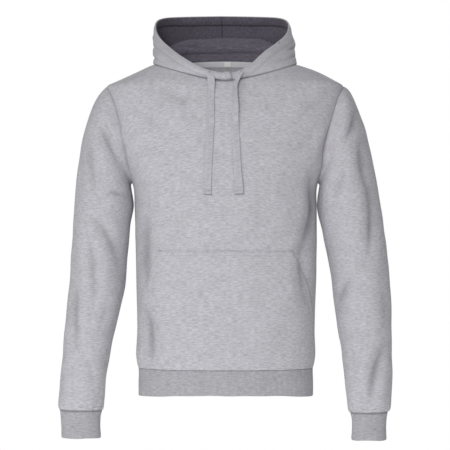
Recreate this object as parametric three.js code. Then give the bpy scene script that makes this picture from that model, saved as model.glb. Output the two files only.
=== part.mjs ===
// Pullover hoodie with a kangaroo pocket, a lined two-panel hood and a flat drawcord.
// It keeps the hollow shape that it has when worn. Millimetres, +Z up, front towards -Y.
// The origin is between the shoulders, level with the neck seam where it crosses them.
import * as THREE from "three";

// Cloth thicknesses and the gap left at every seam
const FLEECE = 2.0;
const JERSEY = 1.2;
const RIB = 2.6;
const TAPE = 1.0;
const LABEL = 0.8;
const SEAM_GAP = 0.4;
const LAYER_GAP = 0.3;
const LINING_GAP = 0.6;

// How finely the panels are divided
const SIDE_COLUMNS = 3; // from the side seam to the pocket's edge
const HALF_COLUMNS = 12; // from the side seam to the centre
const SHOULDER_COLUMNS = 5; // of those, along the shoulder seam
const ARMHOLE_ROWS = 11; // from the underarm to the shoulder tip
const HOOD_ROWS = 12;

// The trunk, from the hem seam to the neck: half its width, and its depth before and behind
const SQUARENESS = 2.4;
const TRUNK = [
  { height: -616, half: 180, front: 110, back: 106, shift: 1 },
  { height: -590, half: 183.5, front: 117, back: 112, shift: 1 },
  { height: -540, half: 181.5, front: 118, back: 112, shift: 1.5 },
  { height: -460, half: 183.5, front: 121, back: 113, shift: 2 },
  { height: -360, half: 185.5, front: 124, back: 117, shift: 2 },
  { height: -290, half: 186.5, front: 126, back: 121, shift: 1 },
  { height: -245, half: 188.5, front: 127, back: 123, shift: 0 },
  { height: -200, half: 208, front: 125, back: 124, shift: 0 },
  { height: -150, half: 225, front: 120, back: 122, shift: 0 },
  { height: -100, half: 236, front: 112, back: 117, shift: 0 },
  { height: -65, half: 241, front: 102, back: 109, shift: 0 },
  { height: -41, half: 244, front: 91, back: 99, shift: 0 },
  { height: -18, half: 246, front: 76, back: 87, shift: 0 },
  { height: 3, half: 247, front: 62, back: 78, shift: 0 },
  { height: 20, half: 248, front: 56, back: 73, shift: 0 },
];
const SHOULDER = { tip: { x: 242, z: -41 }, neck: { x: 147, z: 2 }, round: 3, leftRise: 4.5 };
const UNDERARM = -245;
const ARMHOLE = { front: 59, back: 61 };
const NECK = { frontDrop: -36, frontBend: 1.5, backRise: 15, backBend: 2 };

// Heights of the rows between the hem seam and the underarm, with the pocket's edge as an
// angle round the trunk from the side seam
const FRONT_ROWS = [
  { height: -616, pocketEdge: 0.25 },
  { height: -592, pocketEdge: 0.25 },
  { height: -560, pocketEdge: 0.25 },
  { height: -524, pocketEdge: 0.25 },
  { height: -490, pocketEdge: 0.37 },
  { height: -462, pocketEdge: 0.46 },
  { height: -438, pocketEdge: 0.55 },
  { height: -415, pocketEdge: 0.66 },
  { height: -395, pocketEdge: 0.76 },
  { height: -378, pocketEdge: 0.83 },
  { height: -335, pocketEdge: 0.66 },
  { height: -290, pocketEdge: 0.48 },
];
const POCKET_TOP_ROW = 9;
const POCKET_OPENING_ROW = 3;
const POCKET_GAPE = 2.2;

// Sleeves, by the silhouette of each ring seen from the front: its outer and inner point,
// its depth before and behind, and how far the arm swings forward there
const LEFT_SLEEVE = [
  { outX: 250, outZ: -47, inX: 190.8, inZ: -240.8, front: 62, back: 63, swing: 0 },
  { outX: 259, outZ: -59, inX: 193, inZ: -245, front: 65, back: 66, swing: 0 },
  { outX: 268.5, outZ: -80, inX: 191.6, inZ: -256, front: 69, back: 71, swing: 0 },
  { outX: 281.5, outZ: -114, inX: 189.3, inZ: -272, front: 72, back: 75, swing: 0 },
  { outX: 295.5, outZ: -162, inX: 188.6, inZ: -294, front: 74, back: 77, swing: 1 },
  { outX: 308, outZ: -228, inX: 195.5, inZ: -328, front: 73, back: 76, swing: 2 },
  { outX: 321.5, outZ: -310, inX: 206, inZ: -373, front: 70, back: 73, swing: 4 },
  { outX: 332, outZ: -388, inX: 216, inZ: -425, front: 66, back: 69, swing: 6 },
  { outX: 338, outZ: -458, inX: 221.5, inZ: -472, front: 62, back: 64, swing: 9 },
  { outX: 339.5, outZ: -522, inX: 228, inZ: -526, front: 57, back: 59, swing: 12 },
  { outX: 340, outZ: -580, inX: 236.5, inZ: -582, front: 52, back: 54, swing: 16 },
  { outX: 341, outZ: -630, inX: 243, inZ: -631, front: 47, back: 49, swing: 20 },
  { outX: 339.5, outZ: -676, inX: 247.5, inZ: -678, front: 42, back: 43, swing: 23 },
  { outX: 337, outZ: -698, inX: 250, inZ: -700, front: 37, back: 37, swing: 24 },
  { outX: 332.5, outZ: -707, inX: 253.5, inZ: -708.5, front: 31, back: 31, swing: 25 },
];
const RIGHT_SLEEVE = [
  { outX: 250, outZ: -50, inX: 190.8, inZ: -240.8, front: 62, back: 63, swing: 0 },
  { outX: 260.5, outZ: -64, inX: 193, inZ: -245, front: 65, back: 66, swing: 0 },
  { outX: 272, outZ: -86, inX: 191.6, inZ: -256, front: 69, back: 71, swing: 0 },
  { outX: 284.5, outZ: -120, inX: 189, inZ: -271, front: 72, back: 75, swing: 0 },
  { outX: 296, outZ: -168, inX: 187.6, inZ: -290, front: 74, back: 77, swing: 1 },
  { outX: 304, outZ: -232, inX: 192.5, inZ: -322, front: 73, back: 76, swing: 2 },
  { outX: 310, outZ: -312, inX: 198, inZ: -366, front: 70, back: 73, swing: 4 },
  { outX: 315, outZ: -390, inX: 202.5, inZ: -418, front: 66, back: 69, swing: 6 },
  { outX: 320, outZ: -458, inX: 207.5, inZ: -468, front: 62, back: 64, swing: 9 },
  { outX: 326.5, outZ: -520, inX: 221, inZ: -524, front: 57, back: 59, swing: 12 },
  { outX: 331, outZ: -580, inX: 234, inZ: -582, front: 52, back: 54, swing: 16 },
  { outX: 335.5, outZ: -630, inX: 241.5, inZ: -631, front: 47, back: 49, swing: 20 },
  { outX: 339, outZ: -674, inX: 245.5, inZ: -676, front: 42, back: 43, swing: 23 },
  { outX: 340, outZ: -692, inX: 247, inZ: -695, front: 37, back: 37, swing: 24 },
  { outX: 338, outZ: -703, inX: 249.5, inZ: -704, front: 32, back: 32, swing: 25 },
];
const SLEEVE_SQUARENESS = 2.15;
const CUFF = [
  { down: 0, narrow: 0, flatten: 0 },
  { down: 13, narrow: 3.5, flatten: 3 },
  { down: 34, narrow: 4.5, flatten: 4.5 },
  { down: 53, narrow: 4, flatten: 4.5 },
  { down: 55.5, narrow: 5.4, flatten: 5.9 },
];
const HEM = [
  { height: -616, inset: 0, sag: 0 },
  { height: -624, inset: 1.8, sag: 1.5 },
  { height: -642, inset: 1, sag: 4 },
  { height: -665.5, inset: 1.2, sag: 6.5 },
  { height: -668, inset: 2.4, sag: 6.5 },
];

// The hood's rim, from the centre front to the centre back, at shares of the neck seam
const RIM = [
  { share: 0, x: 0, y: -88, z: -22, lean: 0 },
  { share: 0.08, x: 32, y: -85, z: -14.5, lean: 0 },
  { share: 0.16, x: 58, y: -74, z: -0.5, lean: 1 },
  { share: 0.25, x: 84, y: -49, z: 21, lean: 4 },
  { share: 0.36, x: 106, y: -18, z: 39.5, lean: 3 },
  { share: 0.5, x: 128, y: 18, z: 61, lean: 2 },
  { share: 0.6, x: 138, y: 44, z: 77, lean: 1 },
  { share: 0.7, x: 138.5, y: 76, z: 97, lean: 0 },
  { share: 0.8, x: 122, y: 106, z: 109, lean: 0 },
  { share: 0.9, x: 80, y: 130, z: 114, lean: 0 },
  { share: 1, x: 0, y: 141, z: 116.5, lean: 0 },
];
const RIM_OFFSET = -6.5; // the opening sits a little to the wearer's right
// The hood's section at the centre back, from the neck seam over a roll into the pouch behind
// the neck and up to the rim: share of the length, and how far out and up from the seam
const POUCH = [
  { share: 0, out: 0, up: 0 },
  { share: 0.07, out: 8, up: 13 },
  { share: 0.13, out: 5, up: 30 },
  { share: 0.2, out: 19, up: 46 },
  { share: 0.28, out: 36, up: 26 },
  { share: 0.4, out: 46, up: -44 },
  { share: 0.5, out: 64, up: -102 },
  { share: 0.58, out: 86, up: -122 },
  { share: 0.67, out: 108, up: -98 },
  { share: 0.8, out: 112, up: -22 },
  { share: 0.92, out: 90, up: 62 },
  { share: 1, out: 66, up: 100.5 },
];
const POUCH_START = { out: 0.4, up: 0.58 };
const POUCH_SPREAD = { left: 0.3, right: 0.16 };
const HOOD_STAND = { front: 4, side: 5 };
const HOOD_CLEARANCE = 2.5;
const CROSSING = 0.7; // how far past the centre the fronts cross, as a share of a column
const CROSSING_STEP = FLEECE + JERSEY + 2 * LINING_GAP + 0.6;

// Drawcord ends: routes down the front, by place across and height
const CORD = { thick: 2.4, clear: 0.8, columns: 4 };
const LEFT_CORD = [
  { x: 32.5, z: -19, width: 9, turn: 0 },
  { x: 24.5, z: -32, width: 11, turn: 0.5 },
  { x: 20, z: -45, width: 13, turn: 0.9 },
  { x: 19.2, z: -62, width: 14, turn: 0.95 },
  { x: 20, z: -80, width: 14, turn: 0.75 },
  { x: 19.7, z: -97, width: 14.5, turn: 0.35 },
  { x: 19.9, z: -119, width: 14, turn: 0.1 },
  { x: 21.4, z: -152, width: 15, turn: 0 },
  { x: 22.9, z: -185, width: 15.5, turn: 0 },
  { x: 24.8, z: -218, width: 15.5, turn: 0 },
  { x: 26.5, z: -242, width: 17, turn: 0 },
  { x: 27.5, z: -265, width: 18.3, turn: 0 },
];
const RIGHT_CORD = [
  { x: -31, z: -20, width: 11, turn: 0 },
  { x: -28.6, z: -33, width: 15, turn: 0.15 },
  { x: -28.6, z: -62, width: 14.6, turn: 0 },
  { x: -28.9, z: -90, width: 15, turn: 0 },
  { x: -29, z: -119, width: 15.8, turn: 0 },
  { x: -31.1, z: -153, width: 15, turn: 0 },
  { x: -32.4, z: -185, width: 15.2, turn: 0 },
  { x: -34.2, z: -218, width: 15.4, turn: 0 },
  { x: -35.1, z: -252, width: 15.4, turn: 0 },
  { x: -35, z: -266, width: 16, turn: 0 },
];

// The largest folds, as seen from the front: from one point to another, half as wide as
// "width", pressed in by "depth". A fold on the back is given as seen through the front.
const FOLDS = [
  { face: "front", x1: -262, z1: -118, x2: -204, z2: -218, width: 13, depth: 6 },
  { face: "front", x1: -275, z1: -145, x2: -260, z2: -276, width: 15, depth: 5 },
  { face: "front", x1: -283, z1: -320, x2: -212, z2: -421, width: 17, depth: 5 },
  { face: "front", x1: -282, z1: -332, x2: -263, z2: -497, width: 15, depth: 5 },
  { face: "front", x1: -303, z1: -437, x2: -300, z2: -582, width: 14, depth: 5 },
  { face: "front", x1: -245, z1: -262, x2: -196, z2: -268, width: 13, depth: 5 },
  { face: "front", x1: 268, z1: -88, x2: 243, z2: -150, width: 14, depth: 6 },
  { face: "front", x1: 279, z1: -150, x2: 290, z2: -270, width: 16, depth: 6 },
  { face: "front", x1: 290, z1: -262, x2: 291, z2: -385, width: 16, depth: 6 },
  { face: "front", x1: 325, z1: -572, x2: 300, z2: -660, width: 14, depth: 6 },
  { face: "front", x1: 247, z1: -440, x2: 228, z2: -500, width: 14, depth: 5 },
  { face: "front", x1: 258, z1: -250, x2: 222, z2: -280, width: 14, depth: 4 },
  { face: "front", x1: -158, z1: -300, x2: -156, z2: -460, width: 17, depth: 6 },
  { face: "front", x1: -156, z1: -450, x2: -155, z2: -608, width: 15, depth: 5 },
  { face: "front", x1: 182, z1: -262, x2: 156, z2: -372, width: 14, depth: 7 },
  { face: "front", x1: 154, z1: -366, x2: 168, z2: -470, width: 14, depth: 5 },
  { face: "front", x1: -150, z1: -46, x2: -74, z2: -94, width: 18, depth: 3 },
  { face: "front", x1: 212, z1: -62, x2: 148, z2: -122, width: 16, depth: 3 },
  { face: "back", x1: -230, z1: -110, x2: -196, z2: -222, width: 16, depth: 6 },
  { face: "back", x1: 232, z1: -105, x2: 198, z2: -218, width: 16, depth: 6 },
  { face: "back", x1: -262, z1: -150, x2: -225, z2: -262, width: 15, depth: 6 },
  { face: "back", x1: 264, z1: -145, x2: 228, z2: -256, width: 15, depth: 6 },
  { face: "back", x1: -285, z1: -330, x2: -222, z2: -400, width: 15, depth: 5 },
  { face: "back", x1: 300, z1: -325, x2: 232, z2: -402, width: 15, depth: 5 },
  { face: "back", x1: -262, z1: -410, x2: -300, z2: -560, width: 15, depth: 5 },
  { face: "back", x1: 272, z1: -405, x2: 308, z2: -550, width: 15, depth: 5 },
  { face: "back", x1: -120, z1: -300, x2: -142, z2: -540, width: 22, depth: 6 },
  { face: "back", x1: 118, z1: -290, x2: 144, z2: -530, width: 22, depth: 6 },
  { face: "back", x1: -40, z1: -400, x2: -56, z2: -590, width: 24, depth: 4 },
  { face: "back", x1: 46, z1: -380, x2: 60, z2: -585, width: 24, depth: 4 },
];

const COLOURS = { grey: 0xb4b3b9, rib: 0xa9a7ac, lining: 0x4f4c57, cord: 0xacabb1, white: 0xdadade };

const point = (x, y, z) => new THREE.Vector3(x, y, z);
const mix = (a, b, t) => a + (b - a) * t;
const eased = (t) => THREE.MathUtils.smoothstep(t, 0, 1);

// A smooth curve through one column of a table, against another column
function curve(table, along, name) {
  const rows = [...table].sort((a, b) => a[along] - b[along]);
  const at = rows.map((row) => row[along]);
  const value = rows.map((row) => row[name]);
  const last = at.length - 1;
  const slope = at.map((_, i) => {
    const before = Math.max(i - 1, 0);
    const after = Math.min(i + 1, last);
    return (value[after] - value[before]) / (at[after] - at[before]);
  });
  return (x) => {
    let i = 0;
    while (i < last - 1 && x > at[i + 1]) i += 1;
    const span = at[i + 1] - at[i];
    const t = THREE.MathUtils.clamp((x - at[i]) / span, 0, 1);
    const rise = t * t * (3 - 2 * t);
    const leave = t * (1 - t) * (1 - t) * span * slope[i];
    const arrive = t * t * (t - 1) * span * slope[i + 1];
    return mix(value[i], value[i + 1], rise) + leave + arrive;
  };
}

// The trunk's half width and depths at a height. The shoulders cut the width off above the tip.
const trunkHalf = curve(TRUNK, "height", "half");
const trunkFront = curve(TRUNK, "height", "front");
const trunkBack = curve(TRUNK, "height", "back");
const trunkShift = curve(TRUNK, "height", "shift");

function shoulderReach(z) {
  const { tip, neck } = SHOULDER;
  return tip.x + ((z - tip.z) * (neck.x - tip.x)) / (neck.z - tip.z);
}

function halfWidth(z) {
  const k = SHOULDER.round;
  const body = trunkHalf(z);
  const slope = shoulderReach(z);
  const least = Math.min(body, slope);
  return least - k * Math.log(Math.exp((least - body) / k) + Math.exp((least - slope) / k));
}

function depth(z, face) {
  return face === "front" ? trunkFront(z) : trunkBack(z);
}

// A point of the trunk at an angle from the side seam and a height
function trunkPoint(angle, z, face, side) {
  const power = 2 / SQUARENESS;
  const x = halfWidth(z) * Math.cos(angle) ** power;
  const y = depth(z, face) * Math.sin(angle) ** power;
  return point(side * x + trunkShift(z), face === "front" ? -y : y, z);
}

// The wearer's left shoulder is fuller than the right along its seam
function fullShoulder(p) {
  const { tip, neck, leftRise } = SHOULDER;
  const t = THREE.MathUtils.clamp((p.x - neck.x) / (tip.x - neck.x), 0, 1);
  p.z += leftRise * Math.sin(Math.PI * t) * eased((p.z + 110) / 70);
  return p;
}

// How far outside the trunk a point lies, in millimetres: negative is inside
function outsideTrunk(p) {
  if (p.z > NECK.backRise + 10) return p.z;
  const across = Math.abs(p.x - trunkShift(p.z)) / halfWidth(p.z);
  const deep = Math.abs(p.y) / depth(p.z, p.y < 0 ? "front" : "back");
  const ratio = (across ** SQUARENESS + deep ** SQUARENESS) ** (1 / SQUARENESS);
  return (ratio - 1) * Math.hypot(p.x, p.y);
}

function trunkNormal(p) {
  const step = 0.5;
  const gradient = ["x", "y", "z"].map((axis) => {
    const ahead = p.clone();
    const behind = p.clone();
    ahead[axis] += step;
    behind[axis] -= step;
    return outsideTrunk(ahead) - outsideTrunk(behind);
  });
  return point(...gradient).normalize();
}

// Moves a point out of the trunk until it is "clear" away
function keepClear(p, clear) {
  const moved = p.clone();
  for (let turn = 0; turn < 8; turn += 1) {
    const short = clear - outsideTrunk(moved);
    if (short <= 0) break;
    moved.addScaledVector(trunkNormal(moved), short * 0.8);
  }
  return moved;
}

// The folds' depth at a point whose cloth faces along "normal"
function foldDepth(p, normal) {
  let total = 0;
  for (const fold of FOLDS) {
    const facing = fold.face === "front" ? -normal.y : normal.y;
    const seen = eased(facing * 2.2);
    if (seen === 0) continue;
    const dx = fold.x2 - fold.x1;
    const dz = fold.z2 - fold.z1;
    const along = ((p.x - fold.x1) * dx + (p.z - fold.z1) * dz) / (dx * dx + dz * dz);
    const t = THREE.MathUtils.clamp(along, 0, 1);
    const away = Math.hypot(p.x - fold.x1 - t * dx, p.z - fold.z1 - t * dz);
    const fade = Math.sin(Math.PI * mix(0.12, 0.88, t));
    total += seen * fade * fold.depth * Math.exp(-((away / fold.width) ** 2));
  }
  return total;
}

function folded(p, normal) {
  return p.clone().addScaledVector(normal, -foldDepth(p, normal));
}

// Outward normals of a grid of points, where "turned" says that rows x columns face inwards
function gridNormals(grid, around, turned) {
  const rows = grid.length;
  const columns = grid[0].length;
  return grid.map((row, j) =>
    row.map((_, i) => {
      const left = around ? (i - 1 + columns) % columns : Math.max(i - 1, 0);
      const right = around ? (i + 1) % columns : Math.min(i + 1, columns - 1);
      const low = Math.max(j - 1, 0);
      const high = Math.min(j + 1, rows - 1);
      const across = row[right].clone().sub(row[left]);
      const up = grid[high][i].clone().sub(grid[low][i]);
      const normal = across.cross(up).normalize();
      return turned ? normal.negate() : normal;
    }),
  );
}

// Draws an edge of a piece back from its seam: square to the seam, within the cloth
function drawBack(edge, normals, beside, distance, around) {
  const last = edge.length - 1;
  const inward = edge.map((p, i) => {
    const before = around ? edge[(i + last) % edge.length] : edge[Math.max(i - 1, 0)];
    const after = around ? edge[(i + 1) % edge.length] : edge[Math.min(i + 1, last)];
    return after.clone().sub(before).cross(normals[i]).normalize();
  });
  const towards = edge.reduce((sum, p, i) => sum + inward[i].dot(beside[i].clone().sub(p)), 0);
  edge.forEach((p, i) => p.addScaledVector(inward[i], Math.sign(towards) * distance));
}

function drawBackRow(grid, normals, row, distance, around = false) {
  drawBack(grid[row], normals[row], grid[row === 0 ? 1 : row - 1], distance, around);
}

function drawBackColumn(grid, normals, index, distance) {
  const beside = column(grid, index === 0 ? 1 : index - 1);
  drawBack(column(grid, index), column(normals, index), beside, distance, false);
}

const column = (grid, i) => grid.map((row) => row[i]);

// One closed wall: the grid is its outer face, and the inner face lies "thick" behind it
function wall(name, grid, normals, thick, around, colour, roughness) {
  const rows = grid.length;
  const columns = grid[0].length;
  const positions = [];
  const faces = [];
  for (const back of [0, thick]) {
    grid.forEach((row, j) =>
      row.forEach((p, i) => {
        positions.push(...p.clone().addScaledVector(normals[j][i], -back).toArray());
      }),
    );
  }
  const inner = rows * columns;
  const at = (j, i) => j * columns + (i % columns);
  const quad = (a, b, c, d) => faces.push(a, b, c, a, c, d);
  const lastColumn = around ? columns : columns - 1;
  for (let j = 0; j < rows - 1; j += 1) {
    for (let i = 0; i < lastColumn; i += 1) {
      const [a, b, c, d] = [at(j, i), at(j, i + 1), at(j + 1, i + 1), at(j + 1, i)];
      quad(a, b, c, d);
      quad(a + inner, d + inner, c + inner, b + inner);
    }
  }
  for (let i = 0; i < lastColumn; i += 1) {
    const [a, b] = [at(0, i), at(0, i + 1)];
    quad(a, a + inner, b + inner, b);
    const [c, d] = [at(rows - 1, i), at(rows - 1, i + 1)];
    quad(d, d + inner, c + inner, c);
  }
  for (let j = 0; j < rows - 1 && !around; j += 1) {
    const [a, b] = [at(j, 0), at(j + 1, 0)];
    quad(b, b + inner, a + inner, a);
    const [c, d] = [at(j, columns - 1), at(j + 1, columns - 1)];
    quad(c + inner, d + inner, d, c);
  }
  return solid(name, positions, facingOut(positions, faces), colour, roughness);
}

// Turns the faces round where they enclose a negative volume
function facingOut(positions, faces) {
  const corner = (k) => point(...positions.slice(3 * k, 3 * k + 3));
  let volume = 0;
  for (let f = 0; f < faces.length; f += 3) {
    const [a, b, c] = [corner(faces[f]), corner(faces[f + 1]), corner(faces[f + 2])];
    volume += a.dot(b.cross(c));
  }
  return volume < 0 ? faces.reverse() : faces;
}

function solid(name, positions, faces, colour, roughness) {
  const geometry = new THREE.BufferGeometry();
  geometry.setAttribute("position", new THREE.Float32BufferAttribute(positions, 3));
  geometry.setIndex(faces);
  geometry.computeVertexNormals();
  const material = new THREE.MeshStandardMaterial({ color: colour, roughness, metalness: 0 });
  const mesh = new THREE.Mesh(geometry, material);
  mesh.name = name;
  return mesh;
}

// The height of the neck seam at a distance across from the centre
function neckHeight(x, face) {
  const share = Math.abs(x) / SHOULDER.neck.x;
  if (face === "front") return mix(NECK.frontDrop, SHOULDER.neck.z, share ** NECK.frontBend);
  return mix(NECK.backRise, SHOULDER.neck.z, share ** NECK.backBend);
}

// The neck seam at a share of the way from the shoulder to the centre, as an angle and a height
function neckPlace(share, face) {
  const reach = halfWidth(SHOULDER.neck.z) * Math.cos((share * Math.PI) / 2) ** 0.9;
  const z = neckHeight(reach, face);
  const across = Math.min(reach / halfWidth(z), 1);
  return { angle: share === 0 ? 0 : Math.acos(across ** (SQUARENESS / 2)), z };
}

// The armhole seam from the underarm to the shoulder tip, as an angle and a height
function armholePlace(turn, face) {
  const middle = (SHOULDER.tip.z + UNDERARM) / 2;
  const z = middle + ((SHOULDER.tip.z - UNDERARM) / 2) * Math.cos(turn);
  const y = ARMHOLE[face] * Math.sin(turn) ** (2 / SLEEVE_SQUARENESS);
  const deep = Math.min(y / depth(z, face), 1);
  return { angle: Math.asin(deep ** (SQUARENESS / 2)), z };
}

// One panel of the trunk as rows of angle and height, for one half, side seam to centre
function panelPlaces(face) {
  const places = FRONT_ROWS.map((row) => lowRow(row.height, row.pocketEdge, face));
  const foot = lowRow(UNDERARM, (SIDE_COLUMNS / HALF_COLUMNS) * (Math.PI / 2), face);
  const top = [];
  for (let i = 0; i <= HALF_COLUMNS; i += 1) {
    const alongShoulder = i / SHOULDER_COLUMNS;
    const alongNeck = (i - SHOULDER_COLUMNS) / (HALF_COLUMNS - SHOULDER_COLUMNS);
    const onShoulder = { angle: 0, z: mix(SHOULDER.tip.z, SHOULDER.neck.z, alongShoulder) };
    top.push(alongShoulder <= 1 ? onShoulder : neckPlace(alongNeck, face));
  }
  for (let k = 0; k <= ARMHOLE_ROWS; k += 1) {
    const rise = (1 - Math.cos((Math.PI * k) / ARMHOLE_ROWS)) / 2;
    const armhole = armholePlace(Math.PI * (1 - k / ARMHOLE_ROWS), face);
    const centre = mix(UNDERARM, top[HALF_COLUMNS].z, rise);
    places.push(
      top.map((end, i) => {
        const u = i / HALF_COLUMNS;
        const corners = (low, high) => mix(mix(low[0], low[1], u), mix(high[0], high[1], u), rise);
        const angle =
          mix(foot[i].angle, end.angle, rise) +
          mix(armhole.angle, Math.PI / 2, u) -
          corners([0, Math.PI / 2], [0, Math.PI / 2]);
        const z =
          mix(UNDERARM, end.z, rise) +
          mix(armhole.z, centre, u) -
          corners([UNDERARM, UNDERARM], [SHOULDER.tip.z, top[HALF_COLUMNS].z]);
        return { angle: Math.max(angle, 0), z };
      }),
    );
  }
  return places;
}

function lowRow(z, pocketEdge, face) {
  const edge = face === "front" ? pocketEdge : (SIDE_COLUMNS / HALF_COLUMNS) * (Math.PI / 2);
  const row = [];
  for (let i = 0; i <= HALF_COLUMNS; i += 1) {
    const inside = (i - SIDE_COLUMNS) / (HALF_COLUMNS - SIDE_COLUMNS);
    const angle = inside <= 0 ? (edge * i) / SIDE_COLUMNS : mix(edge, Math.PI / 2, inside);
    row.push({ angle, z });
  }
  return row;
}

// A whole panel, left to right as the front is seen: places of both halves, then points
function panelGrid(face) {
  const places = panelPlaces(face);
  const plain = places.map((row) => {
    const half = (side) => row.map((place) => trunkPoint(place.angle, place.z, face, side));
    return [...half(-1), ...half(1).reverse().slice(1)];
  });
  const normals = plain.map((row) => row.map((p) => trunkNormal(p)));
  const grid = plain.map((row, j) => row.map((p, i) => folded(fullShoulder(p), normals[j][i])));
  const facing = gridNormals(grid, false, face === "back");
  return { plain, grid, normals: blendEdges(facing, normals) };
}

// Keeps the form's own normals along a panel's edges, where its neighbour shares them
function blendEdges(facing, form) {
  const lastRow = facing.length - 1;
  const lastColumn = facing[0].length - 1;
  return facing.map((row, j) =>
    row.map((normal, i) => {
      const edge = j === 0 || j === lastRow || i === 0 || i === lastColumn;
      return edge ? form[j][i].clone() : normal;
    }),
  );
}

const FRONT = panelGrid("front");
const BACK = panelGrid("back");
const TOP_ROW = FRONT.grid.length - 1;
const UNDERARM_ROW = FRONT_ROWS.length;
const LAST = 2 * HALF_COLUMNS;

// A sleeve's rings. The first ring is the armhole, with the same points as both panels.
function sleeveRings(side, table) {
  const edge = side < 0 ? 0 : LAST;
  const rise = (panel) => {
    const points = [];
    for (let k = 0; k <= ARMHOLE_ROWS; k += 1) points.push(panel.grid[UNDERARM_ROW + k][edge]);
    return points;
  };
  const down = rise(FRONT).reverse();
  const armhole = [...down, ...rise(BACK).slice(1, -1)].map((p) => p.clone());
  const turns = armhole.map((_, i) => (Math.PI * i) / ARMHOLE_ROWS);
  const rings = table.map((ring) => turns.map((turn) => ringPoint(ring, turn, side)));
  const normals = gridNormals([armhole, ...rings], true, side < 0);
  const creased = rings.map((ring, j) =>
    ring.map((p, i) => {
      const started = eased((j + 1) / 3);
      return p.addScaledVector(normals[j + 1][i], -started * foldDepth(p, normals[j + 1][i]));
    }),
  );
  return [armhole, ...creased];
}

function ringPoint(ring, turn, side) {
  const power = 2 / SLEEVE_SQUARENESS;
  const across = Math.sign(Math.cos(turn)) * Math.abs(Math.cos(turn)) ** power;
  const deep = Math.sign(Math.sin(turn)) * Math.abs(Math.sin(turn)) ** power;
  const x = mix(ring.inX, ring.outX, (across + 1) / 2);
  const z = mix(ring.inZ, ring.outZ, (across + 1) / 2);
  return point(side * x, -ring.swing - deep * (deep > 0 ? ring.front : ring.back), z);
}

// The direction in which the walls are thick at the armhole, shared by panel and sleeve
function armholeNormals(side, rings) {
  const sleeve = gridNormals(rings.slice(0, 2), true, side < 0)[0];
  return sleeve.map((normal, i) => normal.clone().add(trunkNormal(rings[0][i])).normalize());
}

function shareArmhole(side, normals) {
  const edge = side < 0 ? 0 : LAST;
  for (let k = 0; k <= ARMHOLE_ROWS; k += 1) {
    const row = UNDERARM_ROW + k;
    FRONT.normals[row][edge] = normals[ARMHOLE_ROWS - k].clone();
    BACK.normals[row][edge] = normals[(ARMHOLE_ROWS + k) % normals.length].clone();
  }
}

function sleeve(side, table, name) {
  const rings = sleeveRings(side, table);
  const shared = armholeNormals(side, rings);
  shareArmhole(side, shared);
  const normals = gridNormals(rings, true, side < 0);
  normals[0] = shared;
  const last = rings.length - 1;
  const seam = { points: rings[last].map((p) => p.clone()), normals: normals[last] };
  drawBackRow(rings, normals, 0, SEAM_GAP / 2, true);
  drawBackRow(rings, normals, last, SEAM_GAP / 2, true);
  return { mesh: wall(name, rings, normals, FLEECE, true, COLOURS.grey, 0.95), seam };
}

// A ribbed cuff grown from the sleeve's last ring
function cuff(seam, name) {
  const centre = seam.points
    .reduce((sum, p) => sum.add(p), point(0, 0, 0))
    .divideScalar(seam.points.length);
  const rings = CUFF.map((row) =>
    seam.points.map((p) => {
      const arm = p.clone().sub(centre);
      const halfX = Math.max(...seam.points.map((q) => Math.abs(q.x - centre.x)));
      const halfY = Math.max(...seam.points.map((q) => Math.abs(q.y - centre.y)));
      const level = mix(arm.z, 0, Math.min(row.down / 20, 1));
      return point(
        centre.x + arm.x * (1 - row.narrow / halfX),
        centre.y + arm.y * (1 - row.flatten / halfY),
        centre.z + level - row.down,
      );
    }),
  );
  const turned = centre.x < 0;
  const normals = gridNormals(rings, true, turned);
  normals[0] = seam.normals.map((n) => n.clone());
  drawBackRow(rings, normals, 0, SEAM_GAP / 2, true);
  return wall(name, rings, normals, RIB, true, COLOURS.rib, 0.95);
}

// The hem band, with the points of both panels' lowest rows
function hemBand() {
  const low = (panel) => panel.plain[0].map((p) => p.clone());
  const ring = [...low(FRONT), ...low(BACK).reverse().slice(1, -1)];
  const rings = HEM.map((row) =>
    ring.map((p) => {
      const outward = trunkNormal(p).setZ(0).normalize();
      const sag = row.sag * Math.abs(p.x / TRUNK[0].half) ** 3;
      return point(p.x, p.y, row.height - sag).addScaledVector(outward, -row.inset);
    }),
  );
  const frontFold = FRONT.grid[0].map((p) => p.clone());
  const backFold = BACK.grid[0].map((p) => p.clone());
  const seam = [...frontFold, ...backFold.reverse().slice(1, -1)];
  const seamNormals = [...FRONT.normals[0], ...[...BACK.normals[0]].reverse().slice(1, -1)];
  rings[0] = seam;
  const normals = gridNormals(rings, true, true);
  normals[0] = seamNormals.map((n) => n.clone());
  drawBackRow(rings, normals, 0, SEAM_GAP / 2, true);
  return wall("hem_band", rings, normals, RIB, true, COLOURS.rib, 0.95);
}

// The hood. One half's columns start from the neck seam's points, centre front to centre back.
function neckColumn() {
  const top = (panel) => panel.plain[TOP_ROW].slice(HALF_COLUMNS, LAST + 1 - SHOULDER_COLUMNS);
  const front = top(FRONT);
  const back = top(BACK).reverse();
  return [...front, ...back.slice(1)].map((p) => p.clone());
}

function hoodShares(neck) {
  const lengths = [0];
  for (let i = 1; i < neck.length; i += 1) {
    lengths.push(lengths[i - 1] + neck[i].distanceTo(neck[i - 1]));
  }
  const whole = lengths[lengths.length - 1];
  return lengths.map((length) => length / whole);
}

const rimX = curve(RIM, "share", "x");
const rimY = curve(RIM, "share", "y");
const rimZ = curve(RIM, "share", "z");
const rimLean = curve(RIM, "share", "lean");
const pouchOut = curve(POUCH, "share", "out");
const pouchUp = curve(POUCH, "share", "up");
const HOOD_LENGTHS = Array.from({ length: HOOD_ROWS + 1 }, (_, j) => {
  const last = POUCH.length - 1;
  const place = (j * last) / HOOD_ROWS;
  const below = Math.min(Math.floor(place), last - 1);
  return mix(POUCH[below].share, POUCH[below + 1].share, place - below);
});

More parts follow.
